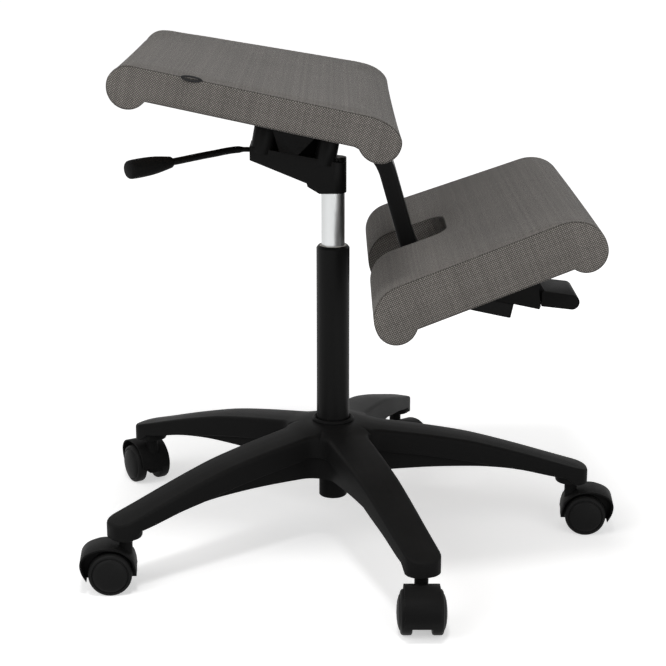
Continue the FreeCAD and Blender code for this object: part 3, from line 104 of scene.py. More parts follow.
class Wiring:
    """Short calls for adding and joining shader nodes."""

    def __init__(self, tree: bpy.types.NodeTree) -> None:
        """Keeps the tree that the nodes go into.

        Args:
            tree: A material's or a group's node tree.
        """
        self.tree = tree

    def node(self, kind: str, **settings: object) -> bpy.types.Node:
        """Adds a node.

        Args:
            kind: The node's type name.
            settings: Properties to set on it.

        Returns:
            The new node.
        """
        made = self.tree.nodes.new(kind)
        for key, value in settings.items():
            setattr(made, key, value)
        return made

    def feed(self, socket: bpy.types.NodeSocket, value: object) -> None:
        """Links a socket to another, or sets it to a plain value.

        Args:
            socket: The input socket.
            value: An output socket, a number, a colour or None to leave it.
        """
        if value is None:
            return
        if isinstance(value, bpy.types.NodeSocket):
            self.tree.links.new(value, socket)
        else:
            socket.default_value = value

    def fill(self, node: bpy.types.Node, values: Dict[str, object]) -> None:
        """Feeds several inputs of a node.

        Args:
            node: The node.
            values: What goes into each input, by name.
        """
        for key, value in values.items():
            self.feed(node.inputs[key], value)

    def maths(self, operation: str, first: object, second: object = None) -> bpy.types.NodeSocket:
        """Adds a Math node.

        Args:
            operation: Its operation.
            first: The first operand.
            second: The second operand, if it has one.

        Returns:
            The result's socket.
        """
        made = self.node("ShaderNodeMath", operation=operation)
        self.feed(made.inputs[0], first)
        self.feed(made.inputs[1], second)
        return made.outputs[0]

    def mix(self, share: object, first: object, second: object) -> bpy.types.NodeSocket:
        """Mixes two colours.

        Args:
            share: How much of the second.
            first: The first colour.
            second: The second colour.

        Returns:
            The mixed colour's socket.
        """
        made = self.node("ShaderNodeMix", data_type="RGBA")
        self.feed(made.inputs["Factor"], share)
        self.feed(made.inputs[6], first)
        self.feed(made.inputs[7], second)
        return made.outputs[2]

    def span(self, value: object, low: float, high: float, start: float = 0.0,
             end: float = 1.0) -> bpy.types.NodeSocket:
        """Maps a value from one range to another.

        Args:
            value: The value's socket.
            low: The result at start.
            high: The result at end.
            start: Where the range starts.
            end: Where the range ends.

        Returns:
            The mapped value's socket.
        """
        made = self.node("ShaderNodeMapRange")
        self.fill(made, {"Value": value, "From Min": start, "From Max": end, "To Min": low, "To Max": high})
        return made.outputs[0]

    def noise(self, coord: object, scale: object, detail: float,
              roughness: float = 0.5) -> bpy.types.NodeSocket:
        """Adds a noise texture.

        Args:
            coord: The coordinates' socket.
            scale: The noise's scale.
            detail: How many finer layers it has.
            roughness: How strong they are.

        Returns:
            The noise's value socket.
        """
        made = self.node("ShaderNodeTexNoise")
        self.fill(made, {"Vector": coord, "Scale": scale, "Detail": detail, "Roughness": roughness})
        return made.outputs[0]

    def stretched(self, coord: object, scale: Place) -> bpy.types.NodeSocket:
        """Stretches coordinates.

        Args:
            coord: The coordinates' socket.
            scale: The scale along each axis.

        Returns:
            The stretched coordinates' socket.
        """
        made = self.node("ShaderNodeMapping")
        self.fill(made, {"Vector": coord, "Scale": scale})
        return made.outputs[0]


def start_group(name: str, inputs: Dict[str, str],
                outputs: Sequence[str]) -> Tuple[Wiring, bpy.types.Node, bpy.types.Node]:
    """Starts a shader node group.

    Args:
        name: The group's name.
        inputs: Each input's name and its type, Vector or Float.
        outputs: The names of the outputs, which are all Float.

    Returns:
        The group's wiring, its input node and its output node.
    """
    tree = bpy.data.node_groups.new(name, "ShaderNodeTree")
    for key, kind in inputs.items():
        tree.interface.new_socket(key, in_out="INPUT", socket_type="NodeSocket" + kind)
    for key in outputs:
        tree.interface.new_socket(key, in_out="OUTPUT", socket_type="NodeSocketFloat")
    wiring = Wiring(tree)
    return wiring, wiring.node("NodeGroupInput"), wiring.node("NodeGroupOutput")


def plain_weave() -> bpy.types.NodeTree:
    """A two-tone plain weave.

    Returns:
        A group that takes flat cloth coordinates and a thread pitch, and gives which thread is on top,
        the cloth's relief, its uneven yarn and each thread's own tint.
    """
    wiring, given, result = start_group("plain_weave", {"Cloth": "Vector", "Pitch": "Float"},
                                        ("Warp", "Relief", "Yarn", "Thread"))
    wobble = wiring.node("ShaderNodeTexNoise")
    wiring.fill(wobble, {"Vector": given.outputs["Cloth"], "Scale": 90.0})
    shift = wiring.node("ShaderNodeVectorMath", operation="MULTIPLY_ADD")
    wiring.feed(shift.inputs[0], wobble.outputs["Color"])
    shift.inputs[1].default_value = (0.0006, 0.0006, 0.0)
    wiring.feed(shift.inputs[2], given.outputs["Cloth"])
    parts = wiring.node("ShaderNodeSeparateXYZ")
    wiring.feed(parts.inputs[0], shift.outputs[0])
    across = wiring.maths("DIVIDE", parts.outputs[0], given.outputs["Pitch"])
    along = wiring.maths("DIVIDE", parts.outputs[1], given.outputs["Pitch"])
    warp_count = wiring.maths("FLOOR", across)
    weft_count = wiring.maths("FLOOR", along)
    count = wiring.maths("ADD", warp_count, weft_count)
    warp = wiring.maths("FLOORED_MODULO", count, 2.0)
    round_across = wiring.maths("SINE", wiring.maths("MULTIPLY", wiring.maths("FRACT", across), math.pi))
    round_along = wiring.maths("SINE", wiring.maths("MULTIPLY", wiring.maths("FRACT", along), math.pi))
    warp_relief = wiring.maths("MULTIPLY", round_across, wiring.span(round_along, 0.55, 1.0))
    weft_relief = wiring.maths("MULTIPLY", round_along, wiring.span(round_across, 0.55, 1.0))
    chosen = wiring.node("ShaderNodeMix", data_type="FLOAT")
    wiring.feed(chosen.inputs["Factor"], warp)
    wiring.feed(chosen.inputs[2], weft_relief)
    wiring.feed(chosen.inputs[3], warp_relief)
    # The warp's numbers are moved far along, so that its tints differ from the weft's.
    threads = []
    for number in (weft_count, wiring.maths("ADD", warp_count, 5000.0)):
        tint = wiring.node("ShaderNodeTexWhiteNoise", noise_dimensions="1D")
        wiring.feed(tint.inputs["W"], number)
        threads.append(tint.outputs["Value"])
    weft_tint = wiring.maths("MULTIPLY", threads[0], 0.65)
    thread = wiring.maths("ADD", weft_tint, wiring.maths("MULTIPLY", threads[1], 0.35))
    yarn = wiring.noise(given.outputs["Cloth"], 420.0, 3.0)
    wiring.fill(result, {"Warp": warp, "Relief": chosen.outputs[0], "Yarn": yarn, "Thread": thread})
    return wiring.tree


def moulded_grain() -> bpy.types.NodeTree:
    """The fine grain of moulded plastic and powder coat.

    Returns:
        A group that takes a place and a grain scale, and gives the grain's relief, slow patches and
        light scuffs.
    """
    wiring, given, result = start_group("moulded_grain", {"Place": "Vector", "Scale": "Float"},
                                        ("Relief", "Patches", "Scuffs"))
    place = given.outputs["Place"]
    pits = wiring.node("ShaderNodeTexVoronoi", feature="SMOOTH_F1")
    wiring.fill(pits, {"Vector": place, "Scale": given.outputs["Scale"]})
    fine = wiring.noise(place, wiring.maths("MULTIPLY", given.outputs["Scale"], 1.7), 2.0)
    relief = wiring.maths("ADD", pits.outputs["Distance"], fine)
    streaks = wiring.noise(wiring.stretched(place, (1.0, 1.0, 6.0)), 70.0, 4.0, 0.65)
    wiring.fill(result, {"Relief": relief, "Patches": wiring.noise(place, 9.0, 3.0),
                         "Scuffs": wiring.span(streaks, 0.0, 1.0, 0.62, 0.78)})
    return wiring.tree


def settled_dust() -> bpy.types.NodeTree:
    """A thin film of dust on faces that look up.

    Returns:
        A group that takes a place and an amount, and gives the dust's share there.
    """
    wiring, given, result = start_group("settled_dust", {"Place": "Vector", "Amount": "Float"}, ("Dust",))
    facing = wiring.node("ShaderNodeNewGeometry")
    parts = wiring.node("ShaderNodeSeparateXYZ")
    wiring.feed(parts.inputs[0], facing.outputs["Normal"])
    level = wiring.span(parts.outputs[2], 0.0, 1.0, 0.35, 1.0)
    patchy = wiring.span(wiring.noise(given.outputs["Place"], 26.0, 5.0, 0.6), 0.35, 1.0, 0.3, 0.7)
    amount = wiring.maths("MULTIPLY", wiring.maths("MULTIPLY", level, patchy), given.outputs["Amount"])
    wiring.feed(result.inputs["Dust"], amount)
    return wiring.tree


class Effects:
    """The node groups that more than one finish uses, built once each."""

    def __init__(self) -> None:
        """Builds the groups."""
        self.weave = plain_weave()
        self.grain = moulded_grain()
        self.dust = settled_dust()


def start_material(name: str) -> Tuple[bpy.types.Material, Wiring, bpy.types.Node]:
    """Starts a material.

    Args:
        name: Its name.

    Returns:
        The material, its wiring and its shader node.
    """
    material = bpy.data.materials.new(name)
    material.use_nodes = True
    wiring = Wiring(material.node_tree)
    return material, wiring, material.node_tree.nodes["Principled BSDF"]


def place_group(wiring: Wiring, group: bpy.types.NodeTree, **values: object) -> bpy.types.Node:
    """Puts an effect into a material.

    Args:
        wiring: The material's wiring.
        group: The effect's group.
        values: Its inputs by name.

    Returns:
        The group's node.
    """
    made = wiring.node("ShaderNodeGroup", node_tree=group)
    wiring.fill(made, values)
    return made


def add_bump(wiring: Wiring, shader: bpy.types.Node, height: object, strength: float,
             distance: float) -> None:
    """Joins a height to the shader's normal.

    Args:
        wiring: The material's wiring.
        shader: The shader node.
        height: The height's socket.
        strength: The bump's strength.
        distance: The bump's depth in metres.
    """
    bump = wiring.node("ShaderNodeBump")
    wiring.fill(bump, {"Strength": strength, "Distance": distance, "Height": height})
    wiring.feed(shader.inputs["Normal"], bump.outputs[0])


@dataclass(frozen=True)
class Moulded:
    """Moulded plastic, rubber, nylon or powder-coated metal: a base colour under fine grain."""

    name: str
    colour: Colour
    rub: Colour
    roughness: float
    grain: float
    depth: float
    specular: float = 0.2
    dust: float = 0.05
    scuff: float = 0.25
    bump: float = 0.35
    dust_colour: Colour = (0.30, 0.29, 0.28)

    def make(self, effects: Effects) -> bpy.types.Material:
        """Builds the material.

        Args:
            effects: The shared node groups.

        Returns:
            The material.
        """
        material, wiring, shader = start_material(self.name)
        place = wiring.node("ShaderNodeTexCoord").outputs["Object"]
        grain = place_group(wiring, effects.grain, Place=place, Scale=self.grain)
        dust = place_group(wiring, effects.dust, Place=place, Amount=self.dust)
        wear_and_seam_shade = wiring.maths("MULTIPLY", grain.outputs["Scuffs"], self.scuff)
        share = wiring.span(grain.outputs["Patches"], 0.0, 0.35)
        patch = wiring.mix(share, (*self.colour, 1.0), (*self.rub, 1.0))
        scuffed = wiring.mix(wear_and_seam_shade, patch, (*self.rub, 1.0))
        dusty = wiring.mix(dust.outputs["Dust"], scuffed, (*self.dust_colour, 1.0))
        wiring.feed(shader.inputs["Base Color"], dusty)
        rough = wiring.span(grain.outputs["Patches"], self.roughness - 0.06, self.roughness + 0.08)
        wiring.feed(shader.inputs["Roughness"], rough)
        shader.inputs["Specular IOR Level"].default_value = self.specular
        add_bump(wiring, shader, grain.outputs["Relief"], self.bump, self.depth)
        return material


@dataclass(frozen=True)
class Metal:
    """Bare metal with the fine lines of turning or polishing."""

    name: str
    colour: Colour
    shade: Colour
    roughness: float
    lines: Place
    grain: float = 900.0
    bump: float = 0.12
    depth: float = 0.00004

    def make(self, effects: Effects) -> bpy.types.Material:
        """Builds the material.

        Args:
            effects: The shared node groups.

        Returns:
            The material.
        """
        material, wiring, shader = start_material(self.name)
        place = wiring.node("ShaderNodeTexCoord").outputs["Object"]
        lines = wiring.noise(wiring.stretched(place, self.lines), 1.0, 3.0)
        grain = place_group(wiring, effects.grain, Place=place, Scale=self.grain)
        share = wiring.span(grain.outputs["Patches"], 0.0, 0.5)
        wiring.feed(shader.inputs["Base Color"], wiring.mix(share, (*self.colour, 1.0), (*self.shade, 1.0)))
        shader.inputs["Metallic"].default_value = 1.0
        rough = wiring.span(lines, self.roughness - 0.04, self.roughness + 0.08)
        wiring.feed(shader.inputs["Roughness"], rough)
        add_bump(wiring, shader, lines, self.bump, self.depth)
        return material


@dataclass(frozen=True)
class Upholstery:
    """Two-tone woven fabric, with painted shade along its seams and in the weave's hollows."""

    name: str
    light: Colour
    dark: Colour
    pitch: float
    # How dark the painted shade along the seams is.
    seam_shade: float = 0.45
    streak: float = 0.17
    bump: float = 0.55
    depth: float = 0.0005

    def make(self, effects: Effects) -> bpy.types.Material:
        """Builds the material. It reads the cloth's UV map and its seam attribute.

        Args:
            effects: The shared node groups.

        Returns:
            The material.
        """
        material, wiring, shader = start_material(self.name)
        cloth = wiring.node("ShaderNodeTexCoord").outputs["UV"]
        weave = place_group(wiring, effects.weave, Cloth=cloth, Pitch=self.pitch)
        tone = wiring.mix(weave.outputs["Warp"], (*self.dark, 1.0), (*self.light, 1.0))
        yarn = wiring.mix(wiring.span(weave.outputs["Yarn"], 0.0, 0.5, 0.3, 0.7), tone, (*self.dark, 1.0))
        # Painted shade: the colour darkens in the weave's hollows, where its relief is low.
        hollow = wiring.span(weave.outputs["Relief"], 0.42, 1.0, 0.0, 0.7)
        shaded = wiring.node("ShaderNodeVectorMath", operation="SCALE")
        wiring.feed(shaded.inputs[0], yarn)
        wiring.feed(shaded.inputs["Scale"], hollow)
        place = wiring.node("ShaderNodeTexCoord").outputs["Object"]
        patch = wiring.span(wiring.noise(place, 7.0, 4.0), 0.93, 1.07, 0.3, 0.7)
        # Painted shade: the seam attribute darkens the colour along the seams, on top of the real shade in
        # their grooves.
        seam = wiring.node("ShaderNodeAttribute", attribute_name="seam")
        line = wiring.span(seam.outputs["Fac"], 1.0, self.seam_shade, 0.2, 0.7)
        # Scales the colour by random patches, the painted seam shade and each thread's tint.
        wear_and_seam_shade = wiring.node("ShaderNodeVectorMath", operation="SCALE")
        wiring.feed(wear_and_seam_shade.inputs[0], shaded.outputs[0])
        thread = wiring.span(weave.outputs["Thread"], 1.0 - self.streak, 1.0 + self.streak)
        shade = wiring.maths("MULTIPLY", wiring.maths("MULTIPLY", patch, line), thread)
        wiring.feed(wear_and_seam_shade.inputs["Scale"], shade)
        wiring.feed(shader.inputs["Base Color"], wear_and_seam_shade.outputs[0])
        wiring.fill(shader, {"Roughness": 0.92, "Specular IOR Level": 0.15, "Sheen Weight": 0.12,
                             "Sheen Roughness": 0.45})
        add_bump(wiring, shader, weave.outputs["Relief"], self.bump, self.depth)
        return material


@dataclass(frozen=True)
class Plywood:
    """Bare plywood: long grain with darker rings."""

    name: str
    light: Colour
    dark: Colour
    lines: Place = (30.0, 2.2, 30.0)
    bump: float = 0.25
    depth: float = 0.0002

    def make(self, effects: Effects) -> bpy.types.Material:
        """Builds the material.

        Args:
            effects: The shared node groups, none of which it needs.

        Returns:
            The material.
        """
        material, wiring, shader = start_material(self.name)
        place = wiring.node("ShaderNodeTexCoord").outputs["Object"]
        long = wiring.stretched(place, self.lines)
        rings = wiring.noise(long, 1.0, 6.0, 0.6)
        pores = wiring.noise(long, 14.0, 3.0)
        tone = wiring.mix(wiring.span(rings, 0.0, 1.0, 0.35, 0.65), (*self.light, 1.0), (*self.dark, 1.0))
        grained = wiring.mix(wiring.span(pores, 0.0, 0.3), tone, (*self.dark, 1.0))
        wiring.feed(shader.inputs["Base Color"], grained)
        wiring.fill(shader, {"Roughness": 0.75, "Specular IOR Level": 0.25})
        add_bump(wiring, shader, pores, self.bump, self.depth)
        return material


def grey(level: float) -> Colour:
    """A colour without a tint."""
    return level, level, level


FINISHES: Dict[Slot, object] = {
    Slot.PLASTIC: Moulded("moulded_black", colour=grey(0.0066), rub=grey(0.009), roughness=0.50, grain=2600.0,
                          depth=0.00012, specular=0.03, dust=0.012),
    Slot.WHEEL: Moulded("wheel_black", colour=grey(0.0070), rub=grey(0.010), roughness=0.46, grain=1900.0,
                        depth=0.0001, specular=0.06, dust=0.012),
    Slot.PAINT: Moulded("powder_coat", colour=grey(0.0040), rub=grey(0.007), roughness=0.40, grain=2100.0,
                        depth=0.0001, specular=0.07, dust=0.01),
    Slot.NYLON: Moulded("pale_nylon", colour=(0.60, 0.58, 0.53), rub=(0.48, 0.46, 0.41), roughness=0.5,
                        grain=1500.0, depth=0.00005, specular=0.35, dust=0.0),
    Slot.RUBBER: Moulded("buffer_rubber", colour=grey(0.012), rub=grey(0.03), roughness=0.8, grain=1200.0,
                         depth=0.0001),
    Slot.FOAM: Moulded("cushion_foam", colour=(0.70, 0.66, 0.50), rub=(0.60, 0.55, 0.40), roughness=0.9,
                       grain=700.0, depth=0.0006, specular=0.1, dust=0.0),
    Slot.TAPE: Moulded("tag_tape", colour=(0.012, 0.012, 0.013), rub=grey(0.05), roughness=0.8, grain=1600.0,
                       depth=0.0003, specular=0.15, dust=0.0),
    Slot.CHROME: Metal("polished_tube", colour=(0.56, 0.57, 0.57), shade=(0.51, 0.52, 0.52), roughness=0.30,
                       lines=(60.0, 60.0, 1400.0)),
    Slot.STEEL: Metal("plated_steel", colour=(0.50, 0.50, 0.51), shade=(0.40, 0.40, 0.41), roughness=0.35,
                      lines=(900.0, 900.0, 300.0)),
    Slot.PLYWOOD: Plywood("birch_plywood", light=(0.50, 0.36, 0.21), dark=(0.34, 0.22, 0.12)),
    Slot.FABRIC: Upholstery("taupe_weave", light=(0.302, 0.281, 0.260), dark=(0.057, 0.052, 0.047),
                            pitch=0.0014),
}
# Painted shade: a near-black finish for the housing's recess faces, standing in for the shade deep in its
# pockets.
POCKET_SHADE = Moulded("painted_pocket_shade", colour=grey(0.0010), rub=grey(0.0016), roughness=0.7, grain=1800.0,
                 depth=0.0001, specular=0.01, dust=0.0)
# How the cushion covers swell: cloth under pressure, held where it is sewn or stapled.
CLOTH: Dict[str, object] = {
    "quality": 6,
    "mass": 0.4,
    "tension_stiffness": 40.0,
    "compression_stiffness": 40.0,
    "shear_stiffness": 20.0,
    "bending_stiffness": 8.0,
    "use_pressure": True,
    "uniform_pressure_force": 4.0,
    "vertex_group_mass": "held",
}
CLOTH_FRAMES = 20


class Finishes:
    """Every finish as a material, by slot, and the near-black finish that paints shade into the housing's
    pockets.
    """

    def __init__(self) -> None:
        """Builds the materials."""
        effects = Effects()
        self.materials = {slot: finish.make(effects) for slot, finish in FINISHES.items()}
        self.pocket = POCKET_SHADE.make(effects)

    def dress(self, obj: bpy.types.Object, slot: Slot) -> None:
        """Gives an object one finish.

        Args:
            obj: The object.
            slot: The finish's slot.
        """
        obj.data.materials.clear()
        obj.data.materials.append(self.materials[slot])


def linked(name: str, data: bpy.types.ID) -> bpy.types.Object:
    """Puts a mesh, a curve, a lamp or a camera into the scene.

    Args:
        name: The object's name.
        data: What the object shows.

    Returns:
        The object.
    """
    obj = bpy.data.objects.new(name, data)
    bpy.context.collection.objects.link(obj)
    return obj


def only(obj: bpy.types.Object) -> None:
    """Selects one object alone and makes it active.

    Args:
        obj: The object.
    """
    bpy.ops.object.select_all(action="DESELECT")
    obj.select_set(True)
    bpy.context.view_layer.objects.active = obj


def finish_piece(obj: bpy.types.Object, body: str, slot: Slot, finishes: Finishes, *nodes: str) -> None:
    """Gives a piece its finish and its body, and hides the CAD nodes that it stands for.

    Args:
        obj: The piece.
        body: The CAD body that it rides on.
        slot: Its finish.
        finishes: The materials.
        nodes: The CAD nodes that it replaces.
    """
    finishes.dress(obj, slot)
    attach(obj, body)
    if nodes:
        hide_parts(*nodes)
    LOG.info("piece %s rides %s", obj.name, body)


def apply_modifier(obj: bpy.types.Object, kind: str, **settings: object) -> None:
    """Adds a modifier and applies it.

    Args:
        obj: The object.
        kind: The modifier's type.
        settings: Its settings.
    """
    only(obj)
    modifier = obj.modifiers.new(kind.lower(), kind)
    for key, value in settings.items():
        setattr(modifier, key, value)
    bpy.ops.object.modifier_apply(modifier=modifier.name)


def close_up(reach: float, angle: float) -> None:
    """Merges the active object's close points, turns its faces outwards and shades it.

    Args:
        reach: How close the merged points are, in metres.
        angle: Up to which angle its edges are shaded smooth, in degrees.
    """
    bpy.ops.object.mode_set(mode="EDIT")
    bpy.ops.mesh.select_all(action="SELECT")
    bpy.ops.mesh.remove_doubles(threshold=reach)
    bpy.ops.mesh.normals_make_consistent(inside=False)
    bpy.ops.object.mode_set(mode="OBJECT")
    bpy.ops.object.shade_smooth_by_angle(angle=math.radians(angle))


def walk(points: Sequence[Point], distances: Sequence[float]) -> List[Point]:
    """Reads points at given distances along a line of points.

    Args:
        points: The line.
        distances: How far along each wanted point is.

    Returns:
        The wanted points.
    """
    lengths = [0.0]
    for start, end in zip(points, points[1:]):
        lengths.append(lengths[-1] + math.dist(start, end))
    found = []
    index = 0
    for distance in distances:
        while index < len(points) - 2 and lengths[index + 1] < distance:
            index += 1
        share = (distance - lengths[index]) / max(lengths[index + 1] - lengths[index], 1e-9)
        start, end = points[index], points[index + 1]
        found.append((start[0] + (end[0] - start[0]) * share, start[1] + (end[1] - start[1]) * share))
    return found


def line_length(points: Sequence[Point]) -> float:
    """The length of a line of points."""
    return sum(math.dist(start, end) for start, end in zip(points, points[1:]))


def turn(centre: Point, radius: float, start: float, end: float) -> List[Point]:
    """Points round an arc.

    Args:
        centre: The arc's centre.
        radius: Its radius.
        start: The first angle in degrees.
        end: The last angle in degrees.

    Returns:
        The points, both ends included.
    """
    points = []
    for step in range(ARC_STEPS + 1):
        angle = math.radians(start + (end - start) * step / ARC_STEPS)
        points.append((centre[0] + radius * math.cos(angle), centre[1] + radius * math.sin(angle)))
    return points


def ease(value: float) -> float:
    """A smooth step from 0 to 1."""
    value = min(max(value, 0.0), 1.0)
    return value * value * (3.0 - 2.0 * value)


class Face(Enum):
    """The two faces of a cushion."""

    TOP = "top"
    BOTTOM = "bottom"


@dataclass
class SlotCut:
    """The slot in a cushion that opens to its rear."""

    half_width: float
    end: float
    corner: float
    dip: float
    dip_reach: float


@dataclass
class Cushion:
    """A sewn cushion in millimetres: one long panel over top, ends and underside, and flat side panels."""

    name: str
    length: float
    thickness: float
    top_radius: float
    roll_radius: float
    roll_depth: float
    rear_width: float
    front_width: float
    place: Point
    slope: float
    board_margin: float
    swell: float
    front_reach: float
    cut: Optional[SlotCut] = None
    spacing: float = 6.0
    groove: float = 1.0
    end_share: float = 0.7
    bulge_reach: float = 5.0
    board_gap: float = 3.0
    recess: float = 4.0
    seam_steps: Tuple[float, ...] = (0.0, 0.9, 2.4, 6.0)
    verts: List[Vector] = field(default_factory=list)
    seams: List[float] = field(default_factory=list)
    held: List[bool] = field(default_factory=list)
    faces: List[List[int]] = field(default_factory=list)
    cloth: List[List[Point]] = field(default_factory=list)
    creases: Set[int] = field(default_factory=set)
    grid: Dict[Tuple[Face, int, int], int] = field(default_factory=dict)
    spots: Dict[int, Point] = field(default_factory=dict)
    column_places: List[Callable[[float], float]] = field(default_factory=list)
    rows: int = 0
    split_row: int = 0
    last: int = 0

    def half_width(self, along: float) -> float:
        """Half the cushion's width at a distance along it."""
        share = min(max(along / self.length + 0.5, 0.0), 1.0)
        return (self.rear_width + (self.front_width - self.rear_width) * share) / 2

    def split(self) -> float:
        """Where along the cushion the rows of its two halves meet."""
        return self.cut.end if self.cut else 0.0

    def top_line(self) -> List[Point]:
        """Draws the side outline's upper line.

        Returns:
            The line's points along and up, from the rear end to the front end.
        """
        half = self.length / 2
        low = -(self.roll_depth - self.roll_radius)
        radius = self.top_radius
        line = [(-half, low)] + turn((-half + radius, -radius), radius, 180, 90)
        stretch = self.front_reach / radius
        nose = [(half + (x - half) * stretch, z) for x, z in turn((half - radius, -radius), radius, 90, 0)]
        return line + [(self.split(), 0.0)] + nose + [(half, low)]

    def bottom_line(self) -> List[Point]:
        """Draws the side outline's lower line.

        Returns:
            The line's points along and up, from the rear end to the front end.
        """
        half = self.length / 2
        low = -(self.roll_depth - self.roll_radius)
        radius = self.roll_radius
        angle = math.degrees(math.asin((-self.thickness - low) / radius))
        line = turn((-half + radius, low), radius, 180, 360 + angle)
        line += [(self.split(), -self.thickness)]
        return line + turn((half - radius, low), radius, 180 - angle, 360)[:-1] + [(half, low)]

    def chain(self, line: List[Point], corners: Sequence[int] = ()) -> Tuple[List[Point], int, List[int]]:
        """Spaces rows along an outline.

        Args:
            line: The upper or lower line.
            corners: The points that get a row of their own, one behind the split and one ahead of it.

        Returns:
            The rows' points, the row at the split and the rows on the corners.
        """
        middle = self.find_split(line)
        rear, front = line[:middle + 1], line[middle:]
        rear_rows, front_rows = self.row_counts()
        rear_length, front_length = line_length(rear), line_length(front)
        rear_corner = line_length(line[:corners[0] + 1]) if corners else rear_length / 2
        front_corner = line_length(line[middle:corners[1] + 1]) if corners else front_length / 2
        start = list(self.seam_steps) if self.cut else [0.0]
        rest = front_rows - len(start) + 1
        behind = max(2, round(rear_rows * rear_corner / rear_length))
        ahead = max(2, round(rest * (front_corner - start[-1]) / (front_length - start[-1])))
        marks = [rear_corner * step / behind for step in range(behind)]
        marks += [rear_corner + (rear_length - rear_corner) * step / (rear_rows - behind)
                  for step in range(rear_rows - behind)]
        points = walk(rear, marks)
        reach = front_corner - start[-1]
        start += [start[-1] + reach * step / ahead for step in range(1, ahead + 1)]
        start += [front_corner + (front_length - front_corner) * step / (rest - ahead)
                  for step in range(1, rest - ahead + 1)]
        turns = [behind, rear_rows + len(start) - 1 - (rest - ahead)] if corners else []
        return points + walk(front, start), rear_rows, turns

    def find_split(self, line: List[Point]) -> int:
        """The index of the split point in an outline."""
        middle = len(line) / 2
        return min(range(len(line)), key=lambda i: abs(line[i][0] - self.split()) + 1e-3 * abs(i - middle))

    def row_counts(self) -> Tuple[int, int]:
        """Counts the rows of the two halves.

        Returns:
            How many rows the rear and the front part have.
        """
        line = self.top_line()
        middle = self.find_split(line)
        rear = max(6, round(line_length(line[:middle + 1]) / self.spacing))
        front = max(6, round(line_length(line[middle:]) / self.spacing))
        return rear, front + (len(self.seam_steps) if self.cut else 0)

    def columns(self) -> List[Callable[[float], float]]:
        """Spaces columns across the cushion, close together at its seams.

        Returns:
            The columns, each giving its place across at a distance along the cushion.
        """
        edge = self.seam_steps[-1]
        outer = [lambda along, step=step: self.half_width(along) - step for step in self.seam_steps]
        inner = 0.0
        made: List[Callable[[float], float]] = []
        if self.cut:
            inner = self.cut.half_width
            count = max(4, round(inner * 2 / self.spacing / 2) * 2)
            made += [lambda along, y=inner * step / (count / 2): y for step in range(count // 2)]
            made += [lambda along, y=inner + step: y for step in self.seam_steps]
            inner += edge
        else:
            made.append(lambda along: 0.0)
        reach = max(self.rear_width, self.front_width) / 2 - edge - inner
        count = max(3, round(reach / self.spacing))
        for step in range(1, count):
            share = step / count
            made.append(lambda along, share=share, inner=inner:
                        inner + (self.half_width(along) - edge - inner) * share)
        made += outer[::-1]
        left = [lambda along, place=place: -place(along) for place in made[:0:-1]]
        return left + made

    def rounded_corner(self, along: float, across: float) -> Point:
        """Moves a point near the slot's end so that the slot's corners are round.

        Args:
            along: The point's place along the cushion.
            across: Its place across the cushion.

        Returns:
            The moved place, along and across.
        """
        if not self.cut:
            return along, across
        radius = self.cut.corner
        ahead = along - (self.cut.end - radius)
        aside = abs(across) - (self.cut.half_width - radius)
        if ahead <= 0 or aside <= 0:
            return along, across
        reach = max(ahead, aside)
        if aside < ahead:
            angle = math.pi / 4 * aside / ahead
        else:
            angle = math.pi / 2 - math.pi / 4 * ahead / aside
        share = 1.0 - ease((reach - radius) / (2.0 * radius))
        ahead += (reach * math.cos(angle) - ahead) * share
        aside += (reach * math.sin(angle) - aside) * share
        side = math.copysign(1.0, across)
        return self.cut.end - radius + ahead, side * (self.cut.half_width - radius + aside)

    def slot_distance(self, along: float, across: float) -> float:
        """Measures from the slot's edge.

        Args:
            along: The point's place along the cushion.
            across: Its place across.

        Returns:
            How far the point is from the edge, or 0 inside the slot.
        """
        radius = self.cut.corner
        ahead = along - (self.cut.end - radius)
        aside = abs(across) - (self.cut.half_width - radius)
        if ahead > 0 and aside > 0:
            return max(0.0, math.hypot(ahead, aside) - radius)
        return max(0.0, max(ahead, aside) - radius)

    def placed(self, along: float, across: float, height: float) -> Vector:
        """Turns a place on the level cushion into one on the chair.

        Args:
            along: The place along the cushion.
            across: The place across.
            height: The height over the top.

        Returns:
            The place on the chair, in metres.
        """
        slope = math.radians(self.slope)
        x = self.place[0] + along * math.cos(slope) + height * math.sin(slope)
        z = self.place[1] - along * math.sin(slope) + height * math.cos(slope)
        return Vector((x, across, z)) * MM

    def add_vert(self, along: float, across: float, height: float, seam: float, held: bool) -> int:
        """Adds a vertex on the level cushion.

        Args:
            along: Its place along the cushion.
            across: Its place across.
            height: Its height over the top's edge.
            seam: 1 on a seam.
            held: True where the cloth is sewn or stapled down.

        Returns:
            Its index.
        """
        self.verts.append(self.placed(along, across, height))
        self.seams.append(seam)
        self.held.append(held)
        return len(self.verts) - 1

    def add_face(self, corners: Sequence[Tuple[int, Point]]) -> None:
        """Adds a face, leaving out repeated corners.

        Args:
            corners: Each corner's vertex and its place on the flat cloth.
        """
        kept: List[Tuple[int, Point]] = []
        for corner in corners:
            if corner[0] not in [old[0] for old in kept]:
                kept.append(corner)
        if len(kept) > 2:
            self.faces.append([corner[0] for corner in kept])
            self.cloth.append([corner[1] for corner in kept])

